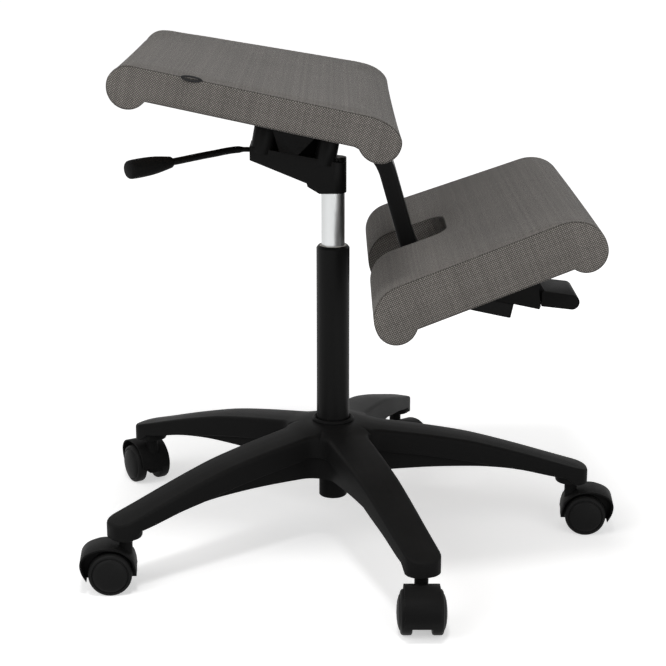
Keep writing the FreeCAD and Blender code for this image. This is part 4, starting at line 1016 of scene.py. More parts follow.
    def build_wrap(self) -> None:
        """Lays the long panel over the top, the ends and the underside."""
        top, split_row, _ = self.chain(self.top_line())
        bottom, _, turns = self.chain(self.bottom_line(), (ARC_STEPS, ARC_STEPS + 2))
        lines = {Face.TOP: top, Face.BOTTOM: bottom}
        rows = len(top)
        ring = [(Face.TOP, k) for k in range(rows)] + [(Face.BOTTOM, k) for k in range(rows - 2, 0, -1)]
        columns = self.columns()
        last = len(columns) - 1
        for side, k in ring:
            along, height = lines[side][k]
            for j, column in enumerate(columns):
                across = column(along)
                if self.cut and k < split_row and abs(across) < self.cut.half_width - CLOSE:
                    continue
                edge = j in (0, last)
                rim = bool(self.cut) and self.on_rim(k, split_row, across)
                spot = self.rounded_corner(along, across)
                lift = self.shape_height(side, spot, height, edge)
                pulled = self.pulled_in(spot, lift, side, edge, rim)
                held = edge or rim or side is Face.BOTTOM
                sewn = edge or (rim and side is Face.TOP)
                index = self.add_vert(*pulled, 1.0 if sewn else 0.0, held)
                self.grid[(side, k, j)] = index
                if side is Face.BOTTOM and k in turns:
                    self.creases.add(index)
                self.spots[index] = (spot[0], lift)
        for k in (0, rows - 1):
            for j in range(last + 1):
                if (Face.TOP, k, j) in self.grid:
                    self.grid[(Face.BOTTOM, k, j)] = self.grid[(Face.TOP, k, j)]
        travel = 0.0
        for here, there in zip(ring, ring[1:] + ring[:1]):
            start = lines[here[0]][here[1]]
            end = lines[there[0]][there[1]]
            step = math.dist(start, end)
            for j in range(last):
                corners = [(*here, j), (*there, j), (*there, j + 1), (*here, j + 1)]
                if any(corner not in self.grid for corner in corners):
                    continue
                if self.cut and self.inside_slot(here, there, j, columns, split_row):
                    continue
                flat = [(columns[j](start[0]), travel), (columns[j](end[0]), travel + step),
                        (columns[j + 1](end[0]), travel + step), (columns[j + 1](start[0]), travel)]
                self.add_face([(self.grid[corner], spot) for corner, spot in zip(corners, flat)])
            travel += step
        self.rows, self.split_row, self.last = rows, split_row, last
        self.column_places = columns

    def on_rim(self, row: int, split_row: int, across: float) -> bool:
        """Finds the slot's edge.

        Args:
            row: A point's row.
            split_row: The row at the slot's end.
            across: The point's place across.

        Returns:
            True on the slot's edge.
        """
        half = self.cut.half_width
        if row <= split_row and abs(abs(across) - half) < CLOSE:
            return True
        return row == split_row and abs(across) <= half + CLOSE

    def inside_slot(self, here: Tuple[Face, int], there: Tuple[Face, int], j: int,
                    columns: Sequence[Callable[[float], float]], split_row: int) -> bool:
        """True for a face that would close the slot."""
        middle = (columns[j](0.0) + columns[j + 1](0.0)) / 2
        return abs(middle) < self.cut.half_width and min(here[1], there[1]) < split_row

    def shape_height(self, side: Face, spot: Point, height: float, edge: bool) -> float:
        """The height of a point after the slot's dip and the board's recess.

        Args:
            side: The cushion's face.
            spot: The point's place along and across.
            height: Its height on the plain outline.
            edge: True on a side seam.

        Returns:
            The height.
        """
        along, across = spot
        if side is Face.TOP and self.cut:
            distance = self.slot_distance(along, across)
            height -= self.cut.dip * math.exp(-distance / self.cut.dip_reach)
        if side is Face.BOTTOM and not edge:
            reach = self.length / 2 - 2 * self.roll_radius - self.board_gap
            margin = self.board_margin + self.board_gap
            inset = self.half_width(along) - margin - abs(across)
            notch = self.slot_distance(along, across) - margin if self.cut else 1.0
            if abs(along) < reach and inset > 0 and notch > 0:
                height += self.recess
        return height

    def pulled_in(self, spot: Point, height: float, side: Face, edge: bool,
                  rim: bool) -> Place:
        """Draws a seam's points into the cushion.

        Args:
            spot: The point's place along and across.
            height: Its height.
            side: The cushion's face.
            edge: True on a side seam.
            rim: True on the slot's edge.

        Returns:
            Its place along, across and up.
        """
        along, across = spot
        if edge:
            across -= math.copysign(self.groove, across)
            middle = -self.thickness / 2
            height -= math.copysign(self.groove, height - middle)
            if abs(along) > self.length / 2 - self.top_radius:
                along -= math.copysign(self.groove * self.end_share, along)
        if rim and side is Face.TOP:
            height -= self.groove
        return along, across, height

    def build_wall(self, path: Sequence[Tuple[int, int]], rows: int, bulge: float) -> None:
        """Closes the side between an upper and a lower edge.

        Args:
            path: The edge's rows and columns.
            rows: How many rows of faces the wall has.
            bulge: How far its middle stands out.
        """
        sheets = []
        travel = 0.0
        before: Optional[Vector] = None
        side = path[0][1] in (0, self.last)
        shares = self.wall_shares(rows)
        for k, j in path:
            high = self.grid[(Face.TOP, k, j)]
            low = self.grid[(Face.BOTTOM, k, j)]
            here = self.verts[high]
            travel += (here - before).length / MM if before is not None else 0.0
            before = here
            drop = (self.verts[high] - self.verts[low]).length / MM
            start, end = (travel, 0.0), (travel, -drop)
            if side:
                start, end = self.spots[high][::-1], self.spots[low][::-1]
            elif k < self.split_row:
                start, end = self.spots[high], self.spots[low]
            sheet = [(high, start)]
            for share in shares:
                flat = (start[0] + (end[0] - start[0]) * share, start[1] + (end[1] - start[1]) * share)
                if high == low:
                    sheet.append((high, flat))
                    continue
                spot = self.verts[high].lerp(self.verts[low], share)
                near = min(share, 1.0 - share) * drop
                stand_out = bulge * ease(near / self.bulge_reach)
                self.verts.append(spot + self.wall_normal(k, j) * stand_out * MM)
                self.seams.append(0.0)
                self.held.append(False)
                sheet.append((len(self.verts) - 1, flat))
            sheet.append((low, end))
            sheets.append(sheet)
        for here, there in zip(sheets, sheets[1:]):
            for row in range(len(shares) + 1):
                self.add_face([here[row], there[row], there[row + 1], here[row + 1]])

    def wall_shares(self, rows: int) -> List[float]:
        """Spaces a wall's rows, close together at its seams.

        Args:
            rows: How many rows of faces the wall has.

        Returns:
            Where each row lies between the upper and the lower edge, from 0 to 1.
        """
        near = [step / self.thickness for step in self.seam_steps[1:]]
        inner = rows - 4
        middle = [near[-1] + (1.0 - 2.0 * near[-1]) * row / inner for row in range(1, inner)]
        return near + middle + [1.0 - share for share in reversed(near)]

    def wall_normal(self, k: int, j: int) -> Vector:
        """Finds a side panel's or slot wall's outward direction.

        Args:
            k: The row.
            j: The column.

        Returns:
            The direction there.
        """
        if j in (0, self.last):
            return Vector((0.0, -1.0 if j == 0 else 1.0, 0.0))
        across = self.column_places[j](0.0)
        if k < self.split_row:
            return Vector((0.0, -math.copysign(1.0, across), 0.0))
        slope = math.radians(self.slope)
        return Vector((-math.cos(slope), 0.0, math.sin(slope)))

    def build_sides(self) -> None:
        """Adds the side panels and the slot's wall."""
        rows = max(7, round(self.thickness / self.spacing) + 2)
        self.build_wall([(k, 0) for k in range(self.rows)], rows, self.groove)
        self.build_wall([(k, self.last) for k in range(self.rows)], rows, self.groove)
        if self.cut:
            places = [column(0.0) for column in self.column_places]
            left = min(range(len(places)), key=lambda j: abs(places[j] + self.cut.half_width))
            right = min(range(len(places)), key=lambda j: abs(places[j] - self.cut.half_width))
            path = [(k, right) for k in range(self.split_row)]
            path += [(self.split_row, j) for j in range(right, left - 1, -1)]
            path += [(k, left) for k in range(self.split_row - 1, -1, -1)]
            self.build_wall(path, rows, 0.0)

    def to_mesh(self) -> bpy.types.Object:
        """Makes the cushion's object.

        Returns:
            The object, with its cloth UV map, seam attribute and held vertex group.
        """
        mesh = bpy.data.meshes.new(self.name)
        mesh.from_pydata(self.verts, [], self.faces)
        layer = mesh.uv_layers.new(name="cloth")
        for polygon, flat in zip(mesh.polygons, self.cloth):
            for loop, spot in zip(polygon.loop_indices, flat):
                layer.data[loop].uv = (spot[0] * MM, spot[1] * MM)
        seam = mesh.attributes.new("seam", "FLOAT", "POINT")
        seam.data.foreach_set("value", self.seams)
        obj = linked(self.name, mesh)
        group = obj.vertex_groups.new(name="held")
        group.add([index for index, held in enumerate(self.held) if held], 1.0, "REPLACE")
        shaped = bmesh.new()
        shaped.from_mesh(mesh)
        bmesh.ops.recalc_face_normals(shaped, faces=shaped.faces)
        shaped.to_mesh(mesh)
        shaped.free()
        crease = mesh.attributes.new("crease_edge", "FLOAT", "EDGE")
        for edge in mesh.edges:
            crease.data[edge.index].value = float(all(index in self.creases for index in edge.vertices))
        return obj

    def inflate(self, obj: bpy.types.Object) -> None:
        """Swells the cover by cloth simulation, held along its seams and underside.

        Args:
            obj: The cushion.
        """
        before = [vertex.co.copy() for vertex in obj.data.vertices]
        only(obj)
        modifier = obj.modifiers.new("cloth", "CLOTH")
        for key, value in CLOTH.items():
            setattr(modifier.settings, key, value)
        modifier.settings.effector_weights.gravity = 0.0
        scene = bpy.context.scene
        for frame in range(1, CLOTH_FRAMES + 1):
            scene.frame_set(frame)
        bpy.ops.object.modifier_apply(modifier=modifier.name)
        scene.frame_set(1)
        cap = self.swell * MM
        largest = 0.0
        for vertex, start in zip(obj.data.vertices, before):
            move = vertex.co - start
            largest = max(largest, move.length)
            if move.length > cap:
                vertex.co = start + move.normalized() * cap
        LOG.info("%s swelled by up to %.1f mm, capped at %.1f mm", self.name, largest / MM, self.swell)

    def build(self) -> bpy.types.Object:
        """Builds the cushion.

        Returns:
            The finished object.
        """
        self.build_wrap()
        self.build_sides()
        obj = self.to_mesh()
        self.inflate(obj)
        for polygon in obj.data.polygons:
            polygon.use_smooth = True
        apply_modifier(obj, "SUBSURF", levels=1, render_levels=1)
        obj.vertex_groups.clear()
        return obj


def smooth_read(table: Sequence[Point], place: float) -> float:
    """Reads a smooth line through points.

    Args:
        table: The line's points, in order.
        place: Where to read it.

    Returns:
        The line's height there.
    """
    index = 0
    while index < len(table) - 2 and table[index + 1][0] < place:
        index += 1
    (x0, y0), (x1, y1) = table[index], table[index + 1]
    before = table[index - 1] if index else (2 * x0 - x1, 2 * y0 - y1)
    after = table[index + 2] if index + 2 < len(table) else (2 * x1 - x0, 2 * y1 - y0)
    span = x1 - x0
    rise_0 = (y1 - before[1]) / (x1 - before[0]) * span
    rise_1 = (after[1] - y0) / (after[0] - x0) * span
    t = min(max((place - x0) / span, 0.0), 1.0)
    return ((2 * t ** 3 - 3 * t ** 2 + 1) * y0 + (t ** 3 - 2 * t ** 2 + t) * rise_0
            + (-2 * t ** 3 + 3 * t ** 2) * y1 + (t ** 3 - t ** 2) * rise_1)


def lathe(name: str, profile: Sequence[Point], segments: int) -> bpy.types.Object:
    """Turns a round piece about the upright axis: a disc that is extruded and resized step by step.

    Args:
        name: The piece's name.
        profile: Each step's radius and height in millimetres, from one pole to the other.
        segments: How many sides it has.

    Returns:
        The piece, with smooth sides and sharp corners.
    """
    bpy.ops.object.select_all(action="DESELECT")
    radius, height = profile[0]
    bpy.ops.mesh.primitive_circle_add(vertices=segments, radius=radius * MM, fill_type="NGON",
                                      location=(0.0, 0.0, height * MM))
    obj = bpy.context.object
    obj.name = name
    bpy.ops.object.transform_apply(location=True, rotation=True, scale=True)
    bpy.ops.object.mode_set(mode="EDIT")
    bpy.ops.mesh.select_all(action="SELECT")
    for wide, high in profile[1:]:
        bpy.ops.mesh.extrude_region_move(TRANSFORM_OT_translate={"value": (0.0, 0.0, (high - height) * MM)})
        scale = wide / radius
        bpy.ops.transform.resize(value=(scale, scale, 1.0), center_override=(0.0, 0.0, high * MM))
        radius, height = wide, high
    close_up(1e-6, TURNED_SHADING)
    return obj


def softened(frame: dict, node: str, name: str, width: float) -> bpy.types.Object:
    """Copies a CAD node and rounds its sharp edges.

    Args:
        frame: The loaded frame.
        node: The node.
        name: The copy's name.
        width: The rounding's width in millimetres.

    Returns:
        The copy.
    """
    obj = linked(name, frame["nodes"][node].data.copy())
    only(obj)
    bpy.ops.object.mode_set(mode="EDIT")
    bpy.ops.mesh.select_all(action="SELECT")
    bpy.ops.mesh.remove_doubles(threshold=1e-5)
    bpy.ops.mesh.dissolve_limited(angle_limit=math.radians(0.6))
    bpy.ops.object.mode_set(mode="OBJECT")
    apply_modifier(obj, "BEVEL", width=width * MM, segments=2, limit_method="ANGLE",
                   angle_limit=math.radians(ROUNDED_FROM))
    bpy.ops.object.shade_smooth_by_angle(angle=math.radians(JOINED_SHADING))
    return obj


def cross_bar(name: str, radius: float, half: float, place: Point, segments: int) -> bpy.types.Object:
    """Makes a round bar that lies across the chair.

    Args:
        name: The bar's name.
        radius: Its radius in millimetres.
        half: Half its length in millimetres.
        place: Its place forward and up, in millimetres.
        segments: How many sides it has.

    Returns:
        The bar.
    """
    bar = lathe(name, ((CORE, -half), (radius, -half), (radius, half), (CORE, half)), segments)
    bar.data.transform(Matrix.Translation((place[0] * MM, 0.0, place[1] * MM))
                       @ Matrix.Rotation(math.pi / 2, 4, "X"))
    return bar


def joined(*pieces: bpy.types.Object, shaded: bool = True) -> bpy.types.Object:
    """Joins pieces into the first one.

    Args:
        pieces: The pieces.
        shaded: False to leave the shading as it is.

    Returns:
        The joined piece.
    """
    bpy.ops.object.select_all(action="DESELECT")
    for piece in pieces:
        piece.select_set(True)
    bpy.context.view_layer.objects.active = pieces[0]
    bpy.ops.object.join()
    if shaded:
        bpy.ops.object.shade_smooth_by_angle(angle=math.radians(JOINED_SHADING))
    return bpy.context.object


def bent_bar(name: str, spots: Sequence[Vector], radii: Sequence[float], rounding: int,
             closed: bool) -> bpy.types.Object:
    """Makes a round bar along a line.

    Args:
        name: The bar's name.
        spots: The line's points in metres.
        radii: The bar's radius at each point in millimetres.
        rounding: How finely the bar is rounded.
        closed: True for a loop, False for a bar with closed ends.

    Returns:
        The bar, as a mesh.
    """
    curve = bpy.data.curves.new(name, "CURVE")
    curve.dimensions = "3D"
    curve.bevel_depth = max(radii) * MM
    curve.bevel_resolution = rounding
    curve.use_fill_caps = not closed
    spline = curve.splines.new("POLY")
    spline.points.add(len(spots) - 1)
    spline.use_cyclic_u = closed
    for point, spot, radius in zip(spline.points, spots, radii):
        point.co = (*spot, 1.0)
        point.radius = radius / max(radii)
    only(linked(name, curve))
    bpy.ops.object.convert(target="MESH")
    bpy.ops.object.shade_smooth()
    return bpy.context.object


@dataclass
class SeamTag:
    """The narrow loop of tape caught in the seat's near seam. Millimetres."""

    name: str = "seam_tag"
    along: float = -68.8
    length: float = 10.6
    height: float = 2.2
    thickness: float = 1.15
    stand_off: float = 0.6
    drop: float = 0.4
    flatness: float = 1.4
    steps: int = 40
    rounding: int = 3

    def build(self, seat: Cushion) -> bpy.types.Object:
        """Builds the loop on a cushion's seam.

        Args:
            seat: The cushion.

        Returns:
            The loop, as a mesh.
        """
        side = -(seat.half_width(self.along) + self.stand_off)
        spots = []
        for step in range(self.steps):
            angle = math.tau * step / self.steps
            lift = math.copysign(abs(math.sin(angle)) ** self.flatness, math.sin(angle))
            along = self.along + self.length * math.cos(angle)
            spots.append(seat.placed(along, side, self.height * lift - self.drop))
        return bent_bar(self.name, spots, [self.thickness] * self.steps, self.rounding, True)


class Layer(Enum):
    """The outlines that an arm of the base is built on, from its top down and in to its underside."""

    TOP = "top"
    SKIRT = "skirt"
    LIP = "lip"
    LEDGE = "ledge"
    FLOOR = "floor"


@dataclass
class StarBase:
    """The five-arm base in millimetres: crowned arms whose deep skirt stands over a hollow underside."""

    name: str = "five_arm_base"
    arms: int = 5
    first: float = 0.9
    reach: float = 316.5
    castor_circle: float = 297.0
    root: float = 60.0
    root_half: float = 26.0
    tip_half: float = 20.25
    web: float = 18.0
    corner: float = 17.0
    edge: float = 4.5
    skirt: float = 28.0
    inset: float = 6.5
    wall: float = 4.0
    roof: float = 6.0
    hub: float = 35.0
    hub_floor: float = 96.0
    boss_half: float = 19.7
    merge: float = 5.0
    lip: float = 0.8
    crown: float = 1.2
    crown_reach: float = 20.0
    tip_start: float = 240.0
    tip_run: float = 60.0
    tip_sharpening: float = 2.0
    tip_solid: float = 26.0
    rib_half: float = 2.2
    rib_lift: float = 3.0
    wall_slack: float = 0.2
    ledge_gap: float = 0.6
    boss_floor: float = 64.0
    boss_top: float = 78.0
    boss_gap: float = 0.3
    boss_start: float = 4.0
    boss_run: float = 6.0
    boss_sides: int = 48
    stem_hole: float = 6.2
    hub_rows: int = 7
    web_rows: int = 6
    arm_rows: int = 22
    tip_rows: int = 6
    shading: float = 42.0
    edge_steps: Tuple[float, ...] = (0.0, 0.35, 1.0, 2.2, 4.0, 4.7, 8.0, 13.0)
    edge_span: float = 19.0
    rib_shares: Point = (0.15, 0.1)
    top: Tuple[Point, ...] = ((0.0, 146.0), (31.0, 146.0), (60.0, 141.0), (116.0, 133.5), (165.0, 125.5),
                              (200.0, 117.0), (240.0, 106.0), (290.0, 91.0), (330.0, 80.0))
    bottom: Tuple[Point, ...] = ((0.0, 84.0), (31.0, 84.0), (70.0, 87.0), (116.0, 89.5), (150.0, 90.0),
                                 (190.0, 89.0), (233.0, 84.0), (271.0, 75.5), (295.0, 71.5), (330.0, 70.0))

    def plan(self, inset: float) -> Dict[str, float]:
        """The sizes of an arm's plan, drawn in from the outline.

        Args:
            inset: How far inside the outline.

        Returns:
            The taper, the web's centre and radius, the tip's corner and the tip's end.
        """
        taper = math.atan2(self.root_half - self.tip_half, self.reach - self.root)
        offset = self.root * math.sin(taper) + (self.root_half - inset) * math.cos(taper)
        half_step = math.pi / self.arms
        web = self.web + inset
        distance = (web + offset) / math.cos(half_step - (math.pi / 2 - taper))
        corner = self.corner - inset
        end = self.reach - inset
        across = (offset - corner - (end - corner) * math.sin(taper)) / math.cos(taper)
        return {"taper": taper, "offset": offset, "web": web, "web_x": distance * math.cos(half_step),
                "web_y": distance * math.sin(half_step), "corner": corner, "end": end, "corner_y": across}

    def half_width(self, plan: Dict[str, float], along: float) -> float:
        """Measures the plan's width, up to the line between two arms.

        Args:
            plan: The sizes of the arm's plan.
            along: The place along the arm.

        Returns:
            Half the width there.
        """
        limit = along * math.tan(math.pi / self.arms)
        bend = plan["web_x"] - plan["web"] * math.sin(plan["taper"])
        if along < bend:
            gap = plan["web"] ** 2 - (along - plan["web_x"]) ** 2
            return min(limit, plan["web_y"] - math.sqrt(max(gap, 0.0))) if gap > 0 else limit
        past = along - (plan["end"] - plan["corner"])
        if past > 0:
            return plan["corner_y"] + math.sqrt(max(plan["corner"] ** 2 - past ** 2, 0.0))
        return min(limit, (plan["offset"] - along * math.sin(plan["taper"])) / math.cos(plan["taper"]))

    def depth(self, plan: Dict[str, float], along: float, across: float) -> float:
        """Measures from the plan's outline.

        Args:
            plan: The sizes of the arm's plan.
            along: The place along the arm.
            across: The place across.

        Returns:
            How far the place lies inside the outline.
        """
        across = abs(across)
        past = along - (plan["end"] - plan["corner"])
        aside = across - plan["corner_y"]
        if past > 0 and aside > 0:
            return plan["corner"] - math.hypot(past, aside)
        if along < plan["web_x"] - plan["web"] * math.sin(plan["taper"]):
            return math.hypot(along - plan["web_x"], across - plan["web_y"]) - plan["web"]
        side = plan["offset"] - along * math.sin(plan["taper"]) - across * math.cos(plan["taper"])
        return min(side, plan["end"] - along)

    def stations(self, plan: Dict[str, float]) -> List[float]:
        """Spaces rows of points along an arm: the hub's, the web's, the arm's and the tip's.

        Args:
            plan: The sizes of the arm's plan.

        Returns:
            Where the rows lie along the arm.
        """
        meet = (math.hypot(plan["web_x"], plan["web_y"]) - plan["web"]) * math.cos(math.pi / self.arms)
        bend = plan["web_x"] - plan["web"] * math.sin(plan["taper"])
        turn_in = plan["end"] - plan["corner"]
        rows = [meet * step / self.hub_rows for step in range(self.hub_rows + 1)]
        rows += [meet + (bend - meet) * (step / self.web_rows) ** 1.5 for step in range(1, self.web_rows + 1)]
        rows += [bend + (turn_in - bend) * step / self.arm_rows for step in range(1, self.arm_rows + 1)]
        angles = [math.radians(90 / self.tip_rows * step) for step in range(1, self.tip_rows + 1)]
        return rows + [turn_in + plan["corner"] * math.sin(angle) for angle in angles]

    def shares(self) -> List[float]:
        """Spaces columns across an arm, close together at its edges.

        Returns:
            Where the columns lie, as shares of the arm's half width.
        """
        half = [1.0 - step / self.edge_span for step in self.edge_steps] + list(self.rib_shares)
        return [-share for share in half] + [0.0] + half[::-1]

    def top_height(self, plan: Dict[str, float], along: float, across: float) -> float:
        """Shapes the top, rounded over at its edge and slightly crowned.

        Args:
            plan: The sizes of the arm's plan.
            along: The place along the arm.
            across: The place across.

        Returns:
            The height of the top there.
        """
        depth = max(self.depth(plan, along, across), 0.0)
        height = smooth_read(self.top, math.hypot(along, across))
        crown = self.crown * (1.0 - ease(depth / self.crown_reach))
        edge = self.edge - self.tip_sharpening * ease((along - self.tip_start) / self.tip_run)
        if depth < edge:
            height -= edge - math.sqrt(edge ** 2 - (edge - depth) ** 2)
        return height - crown

    def floor_height(self, plan: Dict[str, float], along: float, across: float) -> float:
        """Shapes the underside: walls and a rib round two hollows, a solid hub and a solid tip.

        Args:
            plan: The sizes of the arm's plan.
            along: The place along the arm.
            across: The place across.

        Returns:
            The height of the underside there.
        """
        away = math.hypot(along, across)
        rim = smooth_read(self.bottom, away)
        if away < self.hub:
            return self.hub_floor
        if self.depth(plan, along, across) < self.wall + self.wall_slack:
            return rim
        if math.hypot(along - self.castor_circle, across) < self.tip_solid:
            return rim
        if abs(across) < self.rib_half:
            return rim + self.rib_lift
        return smooth_read(self.top, away) - self.roof

    def skirt_height(self, along: float, across: float) -> float:
        """Shapes the skirt's lower edge, which runs out to the boss's foot at the tip.

        Args:
            along: The place along the arm.
            across: The place across.

        Returns:
            The height of the edge there.
        """
        away = math.hypot(along, across)
        upper = smooth_read(self.top, away) - self.skirt
        lower = smooth_read(self.bottom, away) + self.ledge_gap
        height = (upper + lower + math.hypot(upper - lower, self.merge)) / 2
        share = ease((along - self.castor_circle + self.boss_start) / self.boss_run)
        return height + (self.boss_floor + self.boss_gap - height) * share

    def arm(self) -> bpy.types.Object:
        """Builds one arm with its share of the hub.

        Returns:
            The arm, along the X axis.
        """
        layers = [(0.0, Layer.TOP), (0.0, Layer.SKIRT), (self.lip, Layer.LIP), (self.inset, Layer.LEDGE),
                  (self.inset, Layer.FLOOR)]
        made = bmesh.new()
        rings: List[List[List[bmesh.types.BMVert]]] = []
        shares = self.shares()
        for inset, kind in layers:
            plan = self.plan(inset)
            rows = []
            for along in self.stations(plan):
                half = self.half_width(plan, along)
                row = []
                for share in shares:
                    across = half * share
                    if kind is Layer.TOP:
                        height = self.top_height(plan, along, across)
                    elif kind is Layer.FLOOR:
                        height = self.floor_height(plan, along, across)
                    else:
                        lift = self.lip if kind is Layer.SKIRT else 0.0
                        height = self.skirt_height(along, across) + lift
                    row.append(Vector((along, across, height)) * MM)
                rows.append(row)
            rings.append(rows)
        count, last = len(rings[0]), len(shares) - 1
        sheet = {}
        top, floor = 0, len(layers) - 1
        for layer in (top, floor):
            for i in range(count):
                for j in range(last + 1):
                    sheet[(layer, i, j)] = made.verts.new(rings[layer][i][j])
            for i in range(count - 1):
                for j in range(last):
                    made.faces.new([sheet[(layer, i, j)], sheet[(layer, i + 1, j)],
                                    sheet[(layer, i + 1, j + 1)], sheet[(layer, i, j + 1)]])
        border = [(i, 0) for i in range(self.hub_rows, count)] + [(count - 1, j) for j in range(1, last)]
        border += [(i, last) for i in range(count - 1, self.hub_rows - 1, -1)]
        for layer in range(top + 1, floor):
            for i, j in border:
                sheet[(layer, i, j)] = made.verts.new(rings[layer][i][j])
        for layer in range(top, floor):
            for (i, j), (k, m) in zip(border, border[1:]):
                made.faces.new([sheet[(layer, i, j)], sheet[(layer, k, m)],
                                sheet[(layer + 1, k, m)], sheet[(layer + 1, i, j)]])
        mesh = bpy.data.meshes.new("arm")
        made.to_mesh(mesh)
        made.free()
        return linked("arm", mesh)

    def boss(self) -> bpy.types.Object:
        """Turns the round boss that holds a castor's stem.

        Returns:
            The boss, under the tip of an arm along the X axis.
        """
        low, half = self.boss_floor, self.boss_half
        hole, high = self.stem_hole, self.boss_top
        profile = [(hole, high), (hole, low + 0.4), (hole + 0.4, low), (half - 2.6, low),
                   (half - 1.0, low + 0.6), (half - 0.3, low + 1.8), (half, low + 3.6), (half, high)]
        obj = lathe("boss", profile, self.boss_sides)
        obj.data.transform(Matrix.Translation((self.castor_circle * MM, 0.0, 0.0)))
        return obj

    def build(self) -> bpy.types.Object:
        """Builds the base.

        Returns:
            The five arms and bosses as one piece.
        """
        pieces = [self.arm(), self.boss()]
        for index in range(1, self.arms):
            for piece in pieces[:2]:
                copy = linked(piece.name, piece.data.copy())
                copy.data.transform(Matrix.Rotation(math.tau * index / self.arms, 4, "Z"))
                pieces.append(copy)
        obj = joined(*pieces, shaded=False)
        obj.name = self.name
        obj.data.transform(Matrix.Rotation(math.radians(self.first), 4, "Z"))
        close_up(2e-5, self.shading)
        return obj


class WheelSide(Enum):
    """The two wheels of a castor, as the frame names them."""

    LEFT = "left"
    RIGHT = "right"


def joints_of(frame: dict) -> Dict[str, dict]:
    """The frame's joints by name."""
    return {row["name"]: row for row in frame["record"]["behaviour"]["joints"]}


